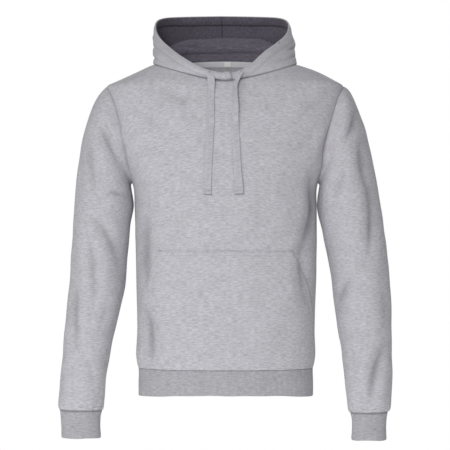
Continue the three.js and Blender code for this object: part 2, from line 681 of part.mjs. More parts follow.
// A point of the hood's outer face, on the +X half, at shares of the neck seam and of the height
function hoodPoint(seam, share, height, side) {
  const past = Math.abs(share);
  const rim = point(Math.sign(share || 1) * rimX(past), rimY(past), rimZ(past));
  rim.z += side * Math.sign(share) * rimLean(past);
  const outward = point(seam.x, seam.y, 0).normalize();
  const stand = mix(HOOD_STAND.front, HOOD_STAND.side, Math.sin(Math.PI * past));
  const p = seam.clone().lerp(rim, height);
  p.addScaledVector(outward, stand * 4 * height * (1 - height));
  const fullOut = eased((past - POUCH_START.out) / (0.9 - POUCH_START.out));
  const fullUp = eased((past - POUCH_START.up) / (1 - POUCH_START.up));
  const end = POUCH[POUCH.length - 1];
  const spread = side > 0 ? POUCH_SPREAD.left : POUCH_SPREAD.right;
  const backward = point(spread * outward.x, Math.abs(outward.y) + 0.6, 0).normalize();
  p.addScaledVector(backward, fullOut * (pouchOut(height) - end.out * height));
  p.z += fullUp * (pouchUp(height) - end.up * height);
  p.x = side * p.x + RIM_OFFSET * height;
  return height > 0.02 ? keepClear(p, HOOD_CLEARANCE * eased(height * 12)) : p;
}

// One half of the hood, whose front edge crosses the centre. The two layers part there.
function hoodHalf(side, step) {
  const neck = neckColumn();
  const shares = hoodShares(neck);
  const mirrored = neck[1].clone().setX(-neck[1].x);
  const seams = [neck[0].clone().lerp(mirrored, CROSSING), ...neck];
  const places = [-CROSSING * shares[1], ...shares];
  const grid = HOOD_LENGTHS.map((height) =>
    seams.map((seam, i) => hoodPoint(seam, places[i], height, side)),
  );
  const normals = gridNormals(grid, false, side < 0);
  normals[0] = shareNeck(seams, normals[0], side);
  const parted = places.map((place) => 0.5 * step * CROSSING_STEP * (1 - eased((place - 0.14) / 0.2)));
  grid.forEach((row, j) => row.forEach((p, i) => p.addScaledVector(normals[j][i], parted[i])));
  const facing = gridNormals(grid, false, side < 0);
  facing[0] = normals[0];
  facing.forEach((row) => row[row.length - 1].setX(0).normalize());
  return { grid, normals: facing };
}

// The direction in which the walls are thick at the neck seam, shared by panels and hood
function shareNeck(seams, hoodNormals, side) {
  const columns = HALF_COLUMNS - SHOULDER_COLUMNS;
  return seams.map((seam, i) => {
    const place = point(side * seam.x, seam.y, seam.z);
    const shared = hoodNormals[i].clone().add(trunkNormal(place)).normalize();
    const step = i - 1;
    const front = HALF_COLUMNS + side * step;
    const back = HALF_COLUMNS + side * (2 * columns - step);
    if (step >= 0 && step <= columns) FRONT.normals[TOP_ROW][front] = shared.clone();
    if (step >= columns) BACK.normals[TOP_ROW][back] = shared.clone();
    return shared;
  });
}

function hoodLayer(name, half, sunk, thick, colour) {
  const grid = half.grid.map((row, j) =>
    row.map((p, i) => p.clone().addScaledVector(half.normals[j][i], -sunk)),
  );
  const last = grid[0].length - 1;
  drawBackRow(grid, half.normals, 0, SEAM_GAP / 2);
  drawBackColumn(grid, half.normals, last, SEAM_GAP / 2);
  return wall(name, grid, half.normals, thick, false, colour, 0.95);
}

function hood() {
  const right = hoodHalf(-1, 1);
  const left = hoodHalf(1, -1);
  const lined = FLEECE + LINING_GAP;
  return [
    hoodLayer("hood_shell_right", right, 0, FLEECE, COLOURS.grey),
    hoodLayer("hood_shell_left", left, 0, FLEECE, COLOURS.grey),
    hoodLayer("hood_lining_right", right, lined, JERSEY, COLOURS.lining),
    hoodLayer("hood_lining_left", left, lined, JERSEY, COLOURS.lining),
  ];
}

// The panels' walls, drawn back from every seam
function panelWall(name, panel) {
  const grid = panel.grid.map((row) => row.map((p) => p.clone()));
  const half = SEAM_GAP / 2;
  drawBackRow(grid, panel.normals, 0, half);
  drawBackRow(grid, panel.normals, TOP_ROW, half);
  drawBackColumn(grid, panel.normals, 0, half);
  drawBackColumn(grid, panel.normals, LAST, half);
  return wall(name, grid, panel.normals, FLEECE, false, COLOURS.grey, 0.95);
}

// The kangaroo pocket: the front's own points between the pocket's edges, moved out
function pocket() {
  const grid = [];
  const normals = [];
  for (let j = 0; j <= POCKET_TOP_ROW; j += 1) {
    const opening = (j - POCKET_OPENING_ROW) / (POCKET_TOP_ROW - POCKET_OPENING_ROW);
    const gapes = opening > 0 && opening < 1 ? Math.sin(Math.PI * opening) : 0;
    const points = [];
    const facing = [];
    for (let i = SIDE_COLUMNS; i <= LAST - SIDE_COLUMNS; i += 1) {
      const fromEdge = Math.min(i, LAST - i) - SIDE_COLUMNS;
      const gape = POCKET_GAPE * gapes * Math.max(1 - fromEdge / 2, 0);
      const normal = FRONT.normals[j][i];
      const out = FLEECE + LAYER_GAP + gape;
      points.push(FRONT.grid[j][i].clone().addScaledVector(normal, out));
      facing.push(normal.clone());
    }
    grid.push(points);
    normals.push(facing);
  }
  drawBackRow(grid, normals, 0, SEAM_GAP);
  return wall("kangaroo_pocket", grid, normals, FLEECE, false, COLOURS.grey, 0.95);
}

// The tape that covers the neck seam inside the back, on the back panel's own points
const TAPE_COLUMNS = 4;
const TAPE_WIDTH = 14;

function tapeGrid(sunk) {
  const columns = [];
  for (let i = HALF_COLUMNS - TAPE_COLUMNS; i <= HALF_COLUMNS + TAPE_COLUMNS; i += 1) {
    const places = [TOP_ROW - 2, TOP_ROW - 1, TOP_ROW].map((j) =>
      BACK.grid[j][i].clone().addScaledVector(BACK.normals[j][i], -sunk),
    );
    const upper = places[2].distanceTo(places[1]);
    const rest = (TAPE_WIDTH - upper) / places[1].distanceTo(places[0]);
    columns.push([places[1].clone().lerp(places[0], Math.min(rest, 1)), places[1], places[2]]);
  }
  return [0, 1, 2].map((j) => columns.map((places) => places[j]));
}

function neckTape() {
  const grid = tapeGrid(FLEECE + 2 * LAYER_GAP);
  const normals = gridNormals(grid, false, true);
  drawBackRow(grid, normals, 2, 1);
  return wall("neck_tape", grid, normals, TAPE, false, COLOURS.grey, 0.9);
}

// A blank label hanging from the neck seam over the tape
const LABEL_PLACE = { from: -2, width: 13, top: 0.14, foot: 0.9 };

function sizeLabel() {
  const rows = tapeGrid(FLEECE + 3 * LAYER_GAP + TAPE);
  const across = (row, x) => {
    const i = row.findIndex((p) => p.x >= x);
    const [a, b] = [row[i - 1], row[i]];
    return a.clone().lerp(b, (x - a.x) / (b.x - a.x));
  };
  const stations = [LABEL_PLACE.from, 0.01, LABEL_PLACE.from + LABEL_PLACE.width];
  const [foot, middle, top] = rows.map((row) => stations.map((x) => across(row, x)));
  const grid = [
    middle.map((p, i) => p.clone().lerp(foot[i], LABEL_PLACE.foot)),
    middle,
    middle.map((p, i) => top[i].clone().lerp(p, LABEL_PLACE.top)),
  ];
  return wall("size_label", grid, gridNormals(grid, false, true), LABEL, false, COLOURS.white, 0.7);
}

// A flat cord end that leaves its eyelet in the hood and lies down the front. Where it is
// turned about its own length it stands on its edge.
function cordStation(stop) {
  const across = Math.min(Math.abs(stop.x) / halfWidth(stop.z), 1);
  const chest = (z) => trunkFront(z) * (1 - across ** SQUARENESS) ** (1 / SQUARENESS);
  const seam = neckHeight(stop.x, "front");
  const hoodStands = HOOD_STAND.front + CROSSING_STEP / 2;
  const below = eased((seam + 4 - stop.z) / 30);
  const surface = mix(chest(seam) + hoodStands, Math.max(chest(stop.z), chest(seam)), below);
  const standing = (stop.width / 2) * Math.sin(stop.turn);
  return point(stop.x, -(surface + CORD.clear + CORD.thick + standing), stop.z);
}

function drawcord(name, route) {
  const line = new THREE.CatmullRomCurve3(route.map(cordStation), false, "centripetal");
  const widths = curve(route, "z", "width");
  const turns = curve(route, "z", "turn");
  const grid = [];
  const normals = [];
  const steps = 2 * (route.length - 1);
  for (let k = steps; k >= 0; k -= 1) {
    const p = line.getPointAt(k / steps);
    const ahead = line.getTangentAt(k / steps);
    const flat = ahead.clone().cross(point(1, 0, 0)).normalize();
    const sideways = point(1, 0, 0).applyAxisAngle(ahead, turns(p.z));
    const normal = flat.applyAxisAngle(ahead, turns(p.z));
    const half = widths(p.z) / 2;
    const row = [];
    for (let i = 0; i < CORD.columns; i += 1) {
      const across = (2 * i) / (CORD.columns - 1) - 1;
      row.push(p.clone().addScaledVector(sideways, across * half));
    }
    grid.push(row);
    normals.push(row.map(() => normal.clone()));
  }
  return wall(name, grid, normals, CORD.thick, false, COLOURS.cord, 0.95);
}

// The sleeves and the hood settle the shared seams first, and the panels follow
const leftSleeve = sleeve(1, LEFT_SLEEVE, "sleeve_left");
const rightSleeve = sleeve(-1, RIGHT_SLEEVE, "sleeve_right");
const hoodPieces = hood();

const hoodie = new THREE.Group();
hoodie.add(
  panelWall("body_front", FRONT),
  panelWall("body_back", BACK),
  leftSleeve.mesh,
  rightSleeve.mesh,
  cuff(leftSleeve.seam, "cuff_left"),
  cuff(rightSleeve.seam, "cuff_right"),
  hemBand(),
  ...hoodPieces,
  pocket(),
  neckTape(),
  sizeLabel(),
  drawcord("drawcord_left", LEFT_CORD),
  drawcord("drawcord_right", RIGHT_CORD),
);

export default hoodie;
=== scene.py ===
"""A pullover hoodie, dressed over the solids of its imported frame.

The cloth follows the trunk, sleeves and hood of the solids, with finer folds, seams and stitching.
Lengths are in millimetres until a mesh is made. +Z is up, the front faces -Y, and the wearer's
left is +X.
"""

import logging
import math
from collections.abc import Sequence
from dataclasses import dataclass, field, replace
from enum import Enum
from functools import cached_property

import bpy
import numpy as np
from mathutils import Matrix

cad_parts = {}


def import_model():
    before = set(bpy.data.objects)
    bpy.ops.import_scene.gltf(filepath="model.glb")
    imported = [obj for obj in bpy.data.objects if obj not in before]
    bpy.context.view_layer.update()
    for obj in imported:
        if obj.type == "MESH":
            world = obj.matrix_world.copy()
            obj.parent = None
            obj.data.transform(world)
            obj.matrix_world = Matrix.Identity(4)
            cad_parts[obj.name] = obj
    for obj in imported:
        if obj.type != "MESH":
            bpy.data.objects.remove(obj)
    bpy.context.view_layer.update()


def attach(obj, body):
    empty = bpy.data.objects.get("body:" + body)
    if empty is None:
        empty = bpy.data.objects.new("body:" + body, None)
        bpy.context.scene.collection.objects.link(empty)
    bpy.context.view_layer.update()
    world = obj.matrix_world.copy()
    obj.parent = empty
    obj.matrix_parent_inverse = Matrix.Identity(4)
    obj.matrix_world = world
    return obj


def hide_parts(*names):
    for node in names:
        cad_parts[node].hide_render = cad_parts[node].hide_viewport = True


LOG = logging.getLogger("hoodie")
LOG = logging.getLogger("hoodie")
MM = 0.001
HALF_TURN = math.pi
QUARTER_TURN = math.pi / 2
CLOTH_MAP = "Cloth"
# The Trough attribute holds how deep folds and seams are, and the materials paint shade by it.
TROUGH = "Trough"
SHADED_DEPTHS = (0.3, 10.0)
BAND_TURNS = 20
HEM_SEAM = -616
Array = np.ndarray


class Named(Enum):
    """A choice whose names are used in the names of pieces."""

    @property
    def word(self) -> str:
        """The name in small letters."""
        return self.name.lower()


class Face(Named):
    """The front or the back of the garment, by the sign of Y."""

    FRONT = -1
    BACK = 1


class Side(Named):
    """The wearer's right or left, by the sign of X."""

    RIGHT = -1
    LEFT = 1


class Edge(Enum):
    """An edge of a stretch of cloth: the axis that leads away from it, and whether it is last."""

    LOW = (0, False)
    HIGH = (0, True)
    LEFT = (1, False)
    RIGHT = (1, True)

    @property
    def axis(self) -> int:
        """The axis of the rows (0) or columns (1) that leads away from the edge."""
        return self.value[0]

    @property
    def last(self) -> bool:
        """Whether it is the edge of the last row or column."""
        return self.value[1]


# Curves and grids


def eased(t: Array | float) -> Array:
    """Rises smoothly from 0 to 1 as t does."""
    t = np.clip(t, 0.0, 1.0)
    return t * t * (3 - 2 * t)


def mix(a: Array | float, b: Array | float, t: Array | float) -> Array:
    """Goes from a to b as t goes from 0 to 1."""
    return a + (b - a) * t


def unit(vectors: Array) -> Array:
    """The vectors at a length of one."""
    length = np.linalg.norm(vectors, axis=-1, keepdims=True)
    return vectors / np.maximum(length, 1e-9)


def swell(away: Array, width: float) -> Array:
    """A soft bump that is 1 where "away" is 0."""
    return np.exp(-((away / width) ** 2))


class Curve:
    """A smooth curve through the rows of a table."""

    def __init__(self, at: Sequence[float] | Array, values: Sequence[float] | Array) -> None:
        """Sorts the rows and finds the slope at each.

        Args:
            at: where each row lies along the curve.
            values: what the curve is there, a number or an array.
        """
        order = np.argsort(at)
        self.at = np.asarray(at, float)[order]
        self.values = np.asarray(values, float)[order]
        last = len(self.at) - 1
        before = np.maximum(np.arange(last + 1) - 1, 0)
        after = np.minimum(np.arange(last + 1) + 1, last)
        run = self._column(self.at[after] - self.at[before])
        self.slopes = (self.values[after] - self.values[before]) / run

    def _column(self, x: Array) -> Array:
        """Gives x the extra axes that the values have."""
        return x.reshape(x.shape + (1,) * (self.values.ndim - 1))

    def __call__(self, x: Array | float) -> Array:
        """The curve's values at x."""
        x = np.asarray(x, float)
        i = np.clip(np.searchsorted(self.at, x) - 1, 0, len(self.at) - 2)
        span = self._column(self.at[i + 1] - self.at[i])
        t = np.clip(self._column(x - self.at[i]) / span, 0.0, 1.0)
        leave = t * (1 - t) ** 2 * span * self.slopes[i]
        arrive = t * t * (t - 1) * span * self.slopes[i + 1]
        return mix(self.values[i], self.values[i + 1], eased(t)) + leave + arrive


def curve_of(rows: Sequence[object], along: str, name: str) -> Curve:
    """A curve through one field of a table's rows, against another field."""
    return Curve([getattr(row, along) for row in rows], [getattr(row, name) for row in rows])


def spread(start: float, end: float, count: int, fine: Sequence[float] = ()) -> Array:
    """Places from start to end, with extra ones near the start.

    Args:
        start: the first place.
        end: the last place.
        count: how many even steps are taken.
        fine: extra places, as distances from the start.

    Returns:
        The places in order.
    """
    if not fine:
        return np.linspace(start, end, count + 1)
    towards = math.copysign(1.0, end - start)
    close = [start + towards * step for step in fine]
    first = close[-1] + (end - close[-1]) / count
    return np.array([start, *close, *np.linspace(first, end, count)])


def grid_normals(points: Array, around: bool, inwards: bool) -> Array:
    """The direction that each point of a grid faces.

    Args:
        points: rows of columns of points.
        around: whether each row closes on itself.
        inwards: whether rows and columns run so that they face inwards.

    Returns:
        One unit vector for each point.
    """
    across = np.roll(points, -1, 1) - np.roll(points, 1, 1) if around else np.gradient(points, axis=1)
    facing = unit(np.cross(across, np.gradient(points, axis=0)))
    return -facing if inwards else facing


def lengths_along(points: Array, axis: int) -> Array:
    """How far each point lies from the start of its row (axis 1) or column (axis 0)."""
    steps = np.linalg.norm(np.diff(points, axis=axis), axis=-1)
    start = np.zeros_like(np.take(steps, [0], axis=axis))
    return np.concatenate([start, np.cumsum(steps, axis=axis)], axis=axis)


def closed_round(grid: Array) -> Array:
    """The grid, with its first column again at the end."""
    return np.concatenate([grid, grid[:, :1]], axis=1)


def joined_quads(index: Array) -> Array:
    """The four-sided faces between the rows and columns of a grid of vertex numbers."""
    corners = [index[:-1, :-1], index[:-1, 1:], index[1:, 1:], index[1:, :-1]]
    return np.stack(corners, axis=-1).reshape(-1, 4)


def ring_cap(ring: Array) -> Array:
    """Four-sided faces that close a ring of an even number of points."""
    count = len(ring)
    return np.array([ring[[k, k + 1, count - 2 - k, count - 1 - k]] for k in range(count // 2 - 1)])


def tube_quads(index: Array) -> Array:
    """The faces of a tube through rows of vertex numbers, with both of its ends closed."""
    ends = [ring_cap(index[0])[:, ::-1], ring_cap(index[-1])]
    return np.concatenate([joined_quads(closed_round(index)), *ends])


def stepped(value: Array | float, ends: tuple[float, float]) -> Array:
    """Rises smoothly from 0 to 1 as a value goes from one end to the other."""
    return eased((value - ends[0]) / (ends[1] - ends[0]))


def read_along(at: Array, values: Array, where: Array | float) -> Array:
    """Reads rows of values, which lie along a line "at" given places, at other places on it."""
    return np.stack([np.interp(where, at, column) for column in values.T], axis=-1)


def walked(line: Array, distances: Array) -> Array:
    """The points at given distances along a line of points."""
    return read_along(lengths_along(line, 0), line, distances)


def squared(angle: Array, squareness: float) -> tuple[Array, Array]:
    """Places round an oval that is squarer than an ellipse, as shares of its half sizes.

    Args:
        angle: how far round each place is.
        squareness: 2 for an ellipse, and more for an oval with fuller corners.

    Returns:
        The shares across and through.
    """
    cos, sin = np.cos(angle), np.sin(angle)
    power = 2 / squareness
    return np.sign(cos) * np.abs(cos) ** power, np.sign(sin) * np.abs(sin) ** power


# Folds


@dataclass(frozen=True)
class FoldForm:
    """The form that all folds have, as shares of their own width, depth and length."""

    facing_gain: float = 2.2
    crease: float = 0.3
    crease_width: float = 0.45
    ridge: float = 0.22
    ridge_place: float = 1.9
    ridge_width: float = 0.8
    ends: tuple[float, float] = (0.1, 0.9)

    def section(self, away: Array, width: float) -> Array:
        """The depth at a distance from the fold's line, less than 0 on the ridge beside it."""
        trough = mix(swell(away, width), swell(away, self.crease_width * width), self.crease)
        return trough - self.ridge * swell(away - self.ridge_place * width, self.ridge_width * width)

    def run(self, share: Array) -> Array:
        """The depth at a share of the fold's length."""
        return np.sin(HALF_TURN * mix(self.ends[0], self.ends[1], share))


FOLD_FORM = FoldForm()


@dataclass(frozen=True)
class Fold:
    """A trough from one point to another as seen from the front.

    A fold on the back is given as seen through the front.
    """

    face: Face
    start: tuple[float, float]
    end: tuple[float, float]
    width: float
    depth: float
    bow: float = 0.0

    def depth_at(self, points: Array, facing: Array) -> Array:
        """How deep the fold presses the cloth in at each point.

        Args:
            points: places on the cloth.
            facing: the way the cloth faces there.

        Returns:
            Depths in millimetres, less than 0 on the ridges beside the trough.
        """
        seen = eased(facing[..., 1] * self.face.value * FOLD_FORM.facing_gain)
        across = points[..., 0] - self.start[0]
        up = points[..., 2] - self.start[1]
        dx = self.end[0] - self.start[0]
        dz = self.end[1] - self.start[1]
        length = math.hypot(dx, dz)
        t = np.clip((across * dx + up * dz) / length**2, 0.0, 1.0)
        bend = self.bow * 4 * t * (1 - t)
        away_x = across - t * dx + bend * dz / length
        away_z = up - t * dz - bend * dx / length
        away = np.hypot(away_x, away_z)
        return seen * FOLD_FORM.run(t) * self.depth * FOLD_FORM.section(away, self.width)


F, B = Face.FRONT, Face.BACK
FOLDS = (
    # the right sleeve
    Fold(F, (-262, -118), (-204, -218), 12, 6.5, 5),
    Fold(F, (-248, -104), (-199, -176), 7, 3.0, -4),
    Fold(F, (-275, -145), (-260, -276), 14, 5, -6),
    Fold(F, (-296, -180), (-294, -272), 10, 2, 3),
    Fold(F, (-285, -300), (-212, -421), 14, 5.5, 16),
    Fold(F, (-280, -336), (-263, -497), 13, 5, 4),
    Fold(F, (-303, -437), (-300, -582), 13, 5.5, -3),
    Fold(F, (-245, -262), (-196, -268), 9, 5, 3),
    Fold(F, (-236, -470), (-252, -530), 9, 2.5, 3),
    Fold(F, (-279, -590), (-264, -672), 10, 2.5, 4),
    Fold(F, (-312, -612), (-300, -690), 9, 2.5, -3),
    Fold(F, (-250, -640), (-262, -700), 7, 2.0, 2),
    # the left sleeve
    Fold(F, (268, -88), (240, -156), 12, 6.5, 6),
    Fold(F, (232, -104), (197, -196), 9, 5.5, -4),
    Fold(F, (277, -138), (294, -270), 15, 6.5, -8),
    Fold(F, (292, -255), (290, -385), 13, 6.5, 5),
    Fold(F, (326, -566), (292, -684), 13, 7, -7),
    Fold(F, (255, -430), (227, -490), 12, 5, -4),
    Fold(F, (252, -210), (216, -276), 13, 4, -4),
    Fold(F, (248, -556), (262, -640), 11, 2.5, 3),
    Fold(F, (318, -440), (322, -540), 12, 3, 4),
    Fold(F, (272, -640), (279, -696), 7, 2.2, -2),
    # the trunk's flanks and chest
    Fold(F, (-158, -300), (-156, -460), 16, 6, -6),
    Fold(F, (-164, -484), (-151, -608), 14, 6.5, 7),
    Fold(F, (182, -262), (156, -372), 13, 7.5, 6),
    Fold(F, (154, -366), (170, -500), 13, 5.5, -9),
    Fold(F, (176, -214), (179, -300), 10, 4, -3),
    Fold(F, (-150, -46), (-60, -104), 18, 3, 8),
    Fold(F, (-196, -74), (-96, -150), 16, 2.2, -7),
    Fold(F, (-170, -170), (-80, -212), 20, 1.6, 8),
    Fold(F, (212, -62), (140, -128), 15, 3, -7),
    Fold(F, (186, -126), (120, -196), 16, 2.2, 6),
    Fold(F, (-64, -52), (-92, -86), 9, 1.8, 3),
    Fold(F, (66, -54), (102, -92), 9, 1.6, -3),
    Fold(F, (-110, -300), (-40, -330), 22, 1.4, 6),
    Fold(F, (120, -290), (44, -338), 22, 1.4, -6),
    Fold(F, (-120, -560), (-70, -606), 14, 2.0, 5),
    Fold(F, (126, -556), (84, -608), 14, 2.0, -5),
    Fold(F, (-20, -580), (-4, -612), 12, 1.3, 2),
    # the back, with the same kinds of fold
    Fold(B, (-230, -110), (-196, -222), 15, 6, 5),
    Fold(B, (232, -105), (198, -218), 15, 6, -5),
    Fold(B, (-262, -150), (-225, -262), 14, 6, 6),
    Fold(B, (264, -145), (228, -256), 14, 6, -6),
    Fold(B, (-285, -330), (-222, -400), 14, 5, 8),
    Fold(B, (300, -325), (232, -402), 14, 5, -8),
    Fold(B, (-262, -410), (-300, -560), 14, 5, 5),
    Fold(B, (272, -405), (308, -550), 14, 5, -5),
    Fold(B, (-120, -300), (-142, -540), 21, 6, 8),
    Fold(B, (118, -290), (144, -530), 21, 6, -9),
    Fold(B, (-40, -400), (-56, -590), 22, 4, 4),
    Fold(B, (46, -380), (60, -585), 22, 4, -5),
    Fold(B, (-176, -100), (-110, -170), 14, 3, 5),
    Fold(B, (180, -96), (104, -176), 14, 3, -6),
    Fold(B, (-66, -110), (-30, -200), 16, 2, 4),
    Fold(B, (70, -120), (28, -214), 16, 2, -4),
    Fold(B, (-110, -230), (-20, -262), 15, 2.6, 6),
    Fold(B, (112, -236), (30, -276), 15, 2.4, -6),
    Fold(B, (-268, -600), (-288, -690), 10, 2.6, 3),
    Fold(B, (292, -600), (276, -690), 10, 2.6, -3),
    Fold(B, (-96, -566), (-76, -612), 13, 2, 3),
    Fold(B, (100, -560), (86, -612), 13, 2, -3),
)


@dataclass(frozen=True)
class Wave:
    """One wave of the ripples: how fast it turns along X, Y and Z, and where it starts."""

    x: float
    y: float
    z: float
    start: float


@dataclass(frozen=True)
class Ripples:
    """The slight unevenness of cloth that has been worn and washed."""

    height: float = 0.275
    bend: float = 9.0
    bend_reach: float = 37.0
    calm_edge: float = 30
    waves: tuple[Wave, ...] = (
        Wave(0.031, 0.012, 0.027, 0.4),
        Wave(-0.044, 0.031, 0.021, 1.9),
        Wave(0.062, -0.022, -0.043, 3.1),
        Wave(0.019, 0.057, 0.071, 5.2),
        Wave(-0.093, 0.041, 0.088, 2.3),
    )

    def at(self, points: Array, from_edge: Array) -> Array:
        """How far the cloth stands out at each point.

        Args:
            points: places on the cloth.
            from_edge: how far each lies from the nearest sewn edge, where the cloth is calm.

        Returns:
            Heights in millimetres.
        """
        total = np.zeros(points.shape[:-1])
        bent = points + self.bend * np.sin(points[..., [2, 0, 1]] / self.bend_reach)
        for wave in self.waves:
            along = bent[..., 0] * wave.x + bent[..., 1] * wave.y + bent[..., 2] * wave.z
            total += np.sin(along + wave.start)
        return self.height * total * eased(from_edge / self.calm_edge)


RIPPLES = Ripples()


def folded(points: Array, facing: Array, started: Array | float = 1.0) -> tuple[Array, Array]:
    """Presses the folds into cloth.

    Args:
        points: places on the cloth.
        facing: the way the cloth faces there.
        started: the share of the folds that shows at each point.

    Returns:
        The moved points, and the depth of the folds at each.
    """
    depth = sum(fold.depth_at(points, facing) for fold in FOLDS) * started
    return points - facing * depth[..., None], depth


# Cloth as a grid with a thickness


@dataclass(frozen=True)
class Groove:
    """How sewing draws cloth in: the depth, the width, and the painted shade that the material puts along
    it, as a trough depth.
    """

    depth: float
    width: float
    shade: float


# The third number is painted shade along the line: heavy for seams, light for side and armhole seams, slight
# under stitches.
SEAM = Groove(1.2, 2.6, 10.0)
SIDE_SEAM = Groove(1.2, 2.6, 2.5)
UNDER_STITCHES = Groove(0.45, 1.5, 2.6)


@dataclass
class Cloth:
    """A stretch of cloth: its outer points, the way it faces, and its trough: how deep its folds and seams
    are, which the materials paint as shade.
    """

    points: Array
    normals: Array
    around: bool = False
    trough: Array | None = None
    grain_edge: Edge = Edge.LOW
    flat: Array | None = None

    def __post_init__(self) -> None:
        """Starts with no trough where none is given."""
        if self.trough is None:
            self.trough = np.zeros(self.points.shape[:2])

    def closed(self) -> Array:
        """The points, with the first column again at the end of a tube."""
        return closed_round(self.points) if self.around else self.points

    def cloth_map(self) -> Array:
        """Each point's place in the flat cloth, in metres: across, then up."""
        if self.flat is not None:
            return self.flat
        points = self.closed()
        across = lengths_along(points, 1)
        middle = points.shape[1] // 2
        centre = 0.0 if self.around else across[:, middle : middle + 1]
        up = lengths_along(points, 0)
        if self.grain_edge is Edge.HIGH:
            up = up - up[-1:]
        return np.stack([across - centre, up], axis=-1) * MM

    def from_edge(self, edge: Edge) -> Array:
        """How far each point lies from an edge, along the cloth."""
        along = lengths_along(self.points, edge.axis)
        return np.take(along, [-1], axis=edge.axis) - along if edge.last else along

    def raised(self, height: Array | float) -> "Cloth":
        """The same cloth, moved out along the way it faces."""
        height = np.asarray(height, float)
        return replace(self, points=self.points + self.normals * height[..., None])

    def part(self, rows: slice, columns: slice) -> "Cloth":
        """Some rows and columns of the cloth."""
        return Cloth(
            self.points[rows, columns].copy(),
            self.normals[rows, columns].copy(),
            False,
            self.trough[rows, columns].copy(),
        )

    def drawn_in(self, groove: Groove, lines: Sequence[tuple[Edge, float]]) -> "Cloth":
        """Draws the cloth in along lines of sewing, and adds painted shade there to its trough.

        Args:
            groove: how the sewing draws it in.
            lines: an edge, and the line's distance from it.

        Returns:
            The cloth with its grooves and their painted shade.
        """
        drawn = sum(swell(self.from_edge(edge) - away, groove.width) for edge, away in lines)
        drawn = np.minimum(drawn, 1.0)
        sewn = self.raised(-groove.depth * drawn)
        # Painted shade along the sewing.
        sewn.trough = self.trough + groove.shade * drawn
        return sewn

    def seamed(self, edges: Sequence[Edge], groove: Groove = SEAM) -> "Cloth":
        """Draws the cloth in where it is sewn along its edges."""
        return self.drawn_in(groove, [(edge, 0.0) for edge in edges])

    def pinched(self, lines: Sequence[tuple[Edge, float]]) -> "Cloth":
        """Draws the cloth in under lines of stitches."""
        return self.drawn_in(UNDER_STITCHES, lines)

    def line_at(self, edge: Edge, away: float) -> tuple[Array, Array]:
        """A line at a distance from one edge.

        Args:
            edge: the edge.
            away: the distance along the cloth.

        Returns:
            The line's points, and the ways that they face.
        """
        both = np.concatenate([self.points, self.normals], axis=-1)
        if edge.axis:
            both = both.swapaxes(0, 1)
        if edge.last:
            both = both[::-1]
        along = lengths_along(both[..., :3], 0)
        line = np.stack([read_along(along[:, k], both[:, k], away) for k in range(both.shape[1])])
        if self.around:
            line = np.concatenate([line, line[:1]])
        return line[:, :3], unit(line[:, 3:])

    def flat_size(self) -> tuple[float, float, float]:
        """The cut's width, length and area in metres, measured along the cloth."""
        points = self.closed()
        a = points[1:, 1:] - points[:-1, :-1]
        b = points[1:, :-1] - points[:-1, 1:]
        area = np.linalg.norm(np.cross(a, b), axis=-1).sum() / 2 * MM * MM
        widths = lengths_along(points, 1)[:, -1] * MM
        width = max(np.median(widths), widths[0])
        length = max(lengths_along(points, 0)[-1].max() * MM, area / width)
        return width, length, area

    def wall(self, name: str, thick: float | Array) -> bpy.types.Object:
        """Makes one closed wall of the cloth.

        Args:
            name: the new object's name.
            thick: how far the inner face lies behind the outer one.

        Returns:
            A mesh object with the cloth's map and troughs.
        """
        thick = np.broadcast_to(np.asarray(thick, float), self.points.shape[:2])
        inner = self.points - self.normals * thick[..., None]
        rows, columns = self.points.shape[:2]
        count = rows * columns
        index = np.arange(count).reshape(rows, columns)
        if self.around:
            index = closed_round(index)
        map_index = np.arange(rows * index.shape[1]).reshape(rows, -1)
        quads = [self._wall_quads(index, count), self._wall_quads(map_index, 0)]
        vertices = np.concatenate([self.points.reshape(-1, 3), inner.reshape(-1, 3)])
        troughs = np.tile(self.trough.reshape(-1), 2)
        flat = self.cloth_map().reshape(-1, 2)
        return make_mesh(name, vertices, quads[0], flat[quads[1]], troughs)

    def _wall_quads(self, index: Array, back: int) -> Array:
        """The four-sided faces of a wall, whose inner points are numbered "back" later."""
        outside = joined_quads(index)
        borders = [index[0], index[-1, ::-1]]
        if not self.around:
            borders += [index[::-1, 0], index[:, -1]]
        faces = [outside, outside[:, [0, 3, 2, 1]] + back]
        for line in borders:
            faces.append(np.stack([line[:-1], line[:-1] + back, line[1:] + back, line[1:]], axis=-1))
        return np.concatenate(faces)


def make_mesh(name: str, vertices: Array, quads: Array, flat: Array, troughs: Array) -> bpy.types.Object:
    """Makes a smooth mesh object from four-sided faces.

    Args:
        name: the object's name.
        vertices: points in millimetres.
        quads: four vertex numbers for each face.
        flat: each face corner's place in the flat cloth, in metres.
        troughs: how deep the folds and seams are at each vertex, in millimetres, which the materials paint
            as shade.

    Returns:
        The object, linked to the scene.
    """
    a, b, c, d = (vertices[quads[:, k]] for k in range(4))
    volume = np.einsum("ij,ij->", a, np.cross(b, c)) + np.einsum("ij,ij->", a, np.cross(c, d))
    if volume < 0:
        quads, flat = quads[:, ::-1], flat[:, ::-1]
    mesh = bpy.data.meshes.new(name)
    mesh.vertices.add(len(vertices))
    mesh.vertices.foreach_set("co", (vertices * MM).astype(np.float32).ravel())
    mesh.loops.add(quads.size)
    mesh.loops.foreach_set("vertex_index", quads.astype(np.int32).ravel())
    mesh.polygons.add(len(quads))
    mesh.polygons.foreach_set("loop_start", np.arange(0, quads.size, 4, dtype=np.int32))
    mesh.update(calc_edges=True)
    layer = mesh.uv_layers.new(name=CLOTH_MAP)
    layer.uv.foreach_set("vector", flat.astype(np.float32).ravel())
    depth = mesh.attributes.new(TROUGH, "FLOAT", "POINT")
    depth.data.foreach_set("value", troughs.astype(np.float32))
    mesh.shade_smooth()
    obj = bpy.data.objects.new(name, mesh)
    bpy.context.scene.collection.objects.link(obj)
    return obj


# Sewing


@dataclass(frozen=True)
class StitchRing:
    """A ring of one stitch: its place along the stitch, and its share of the thickness."""

    place: float
    size: float


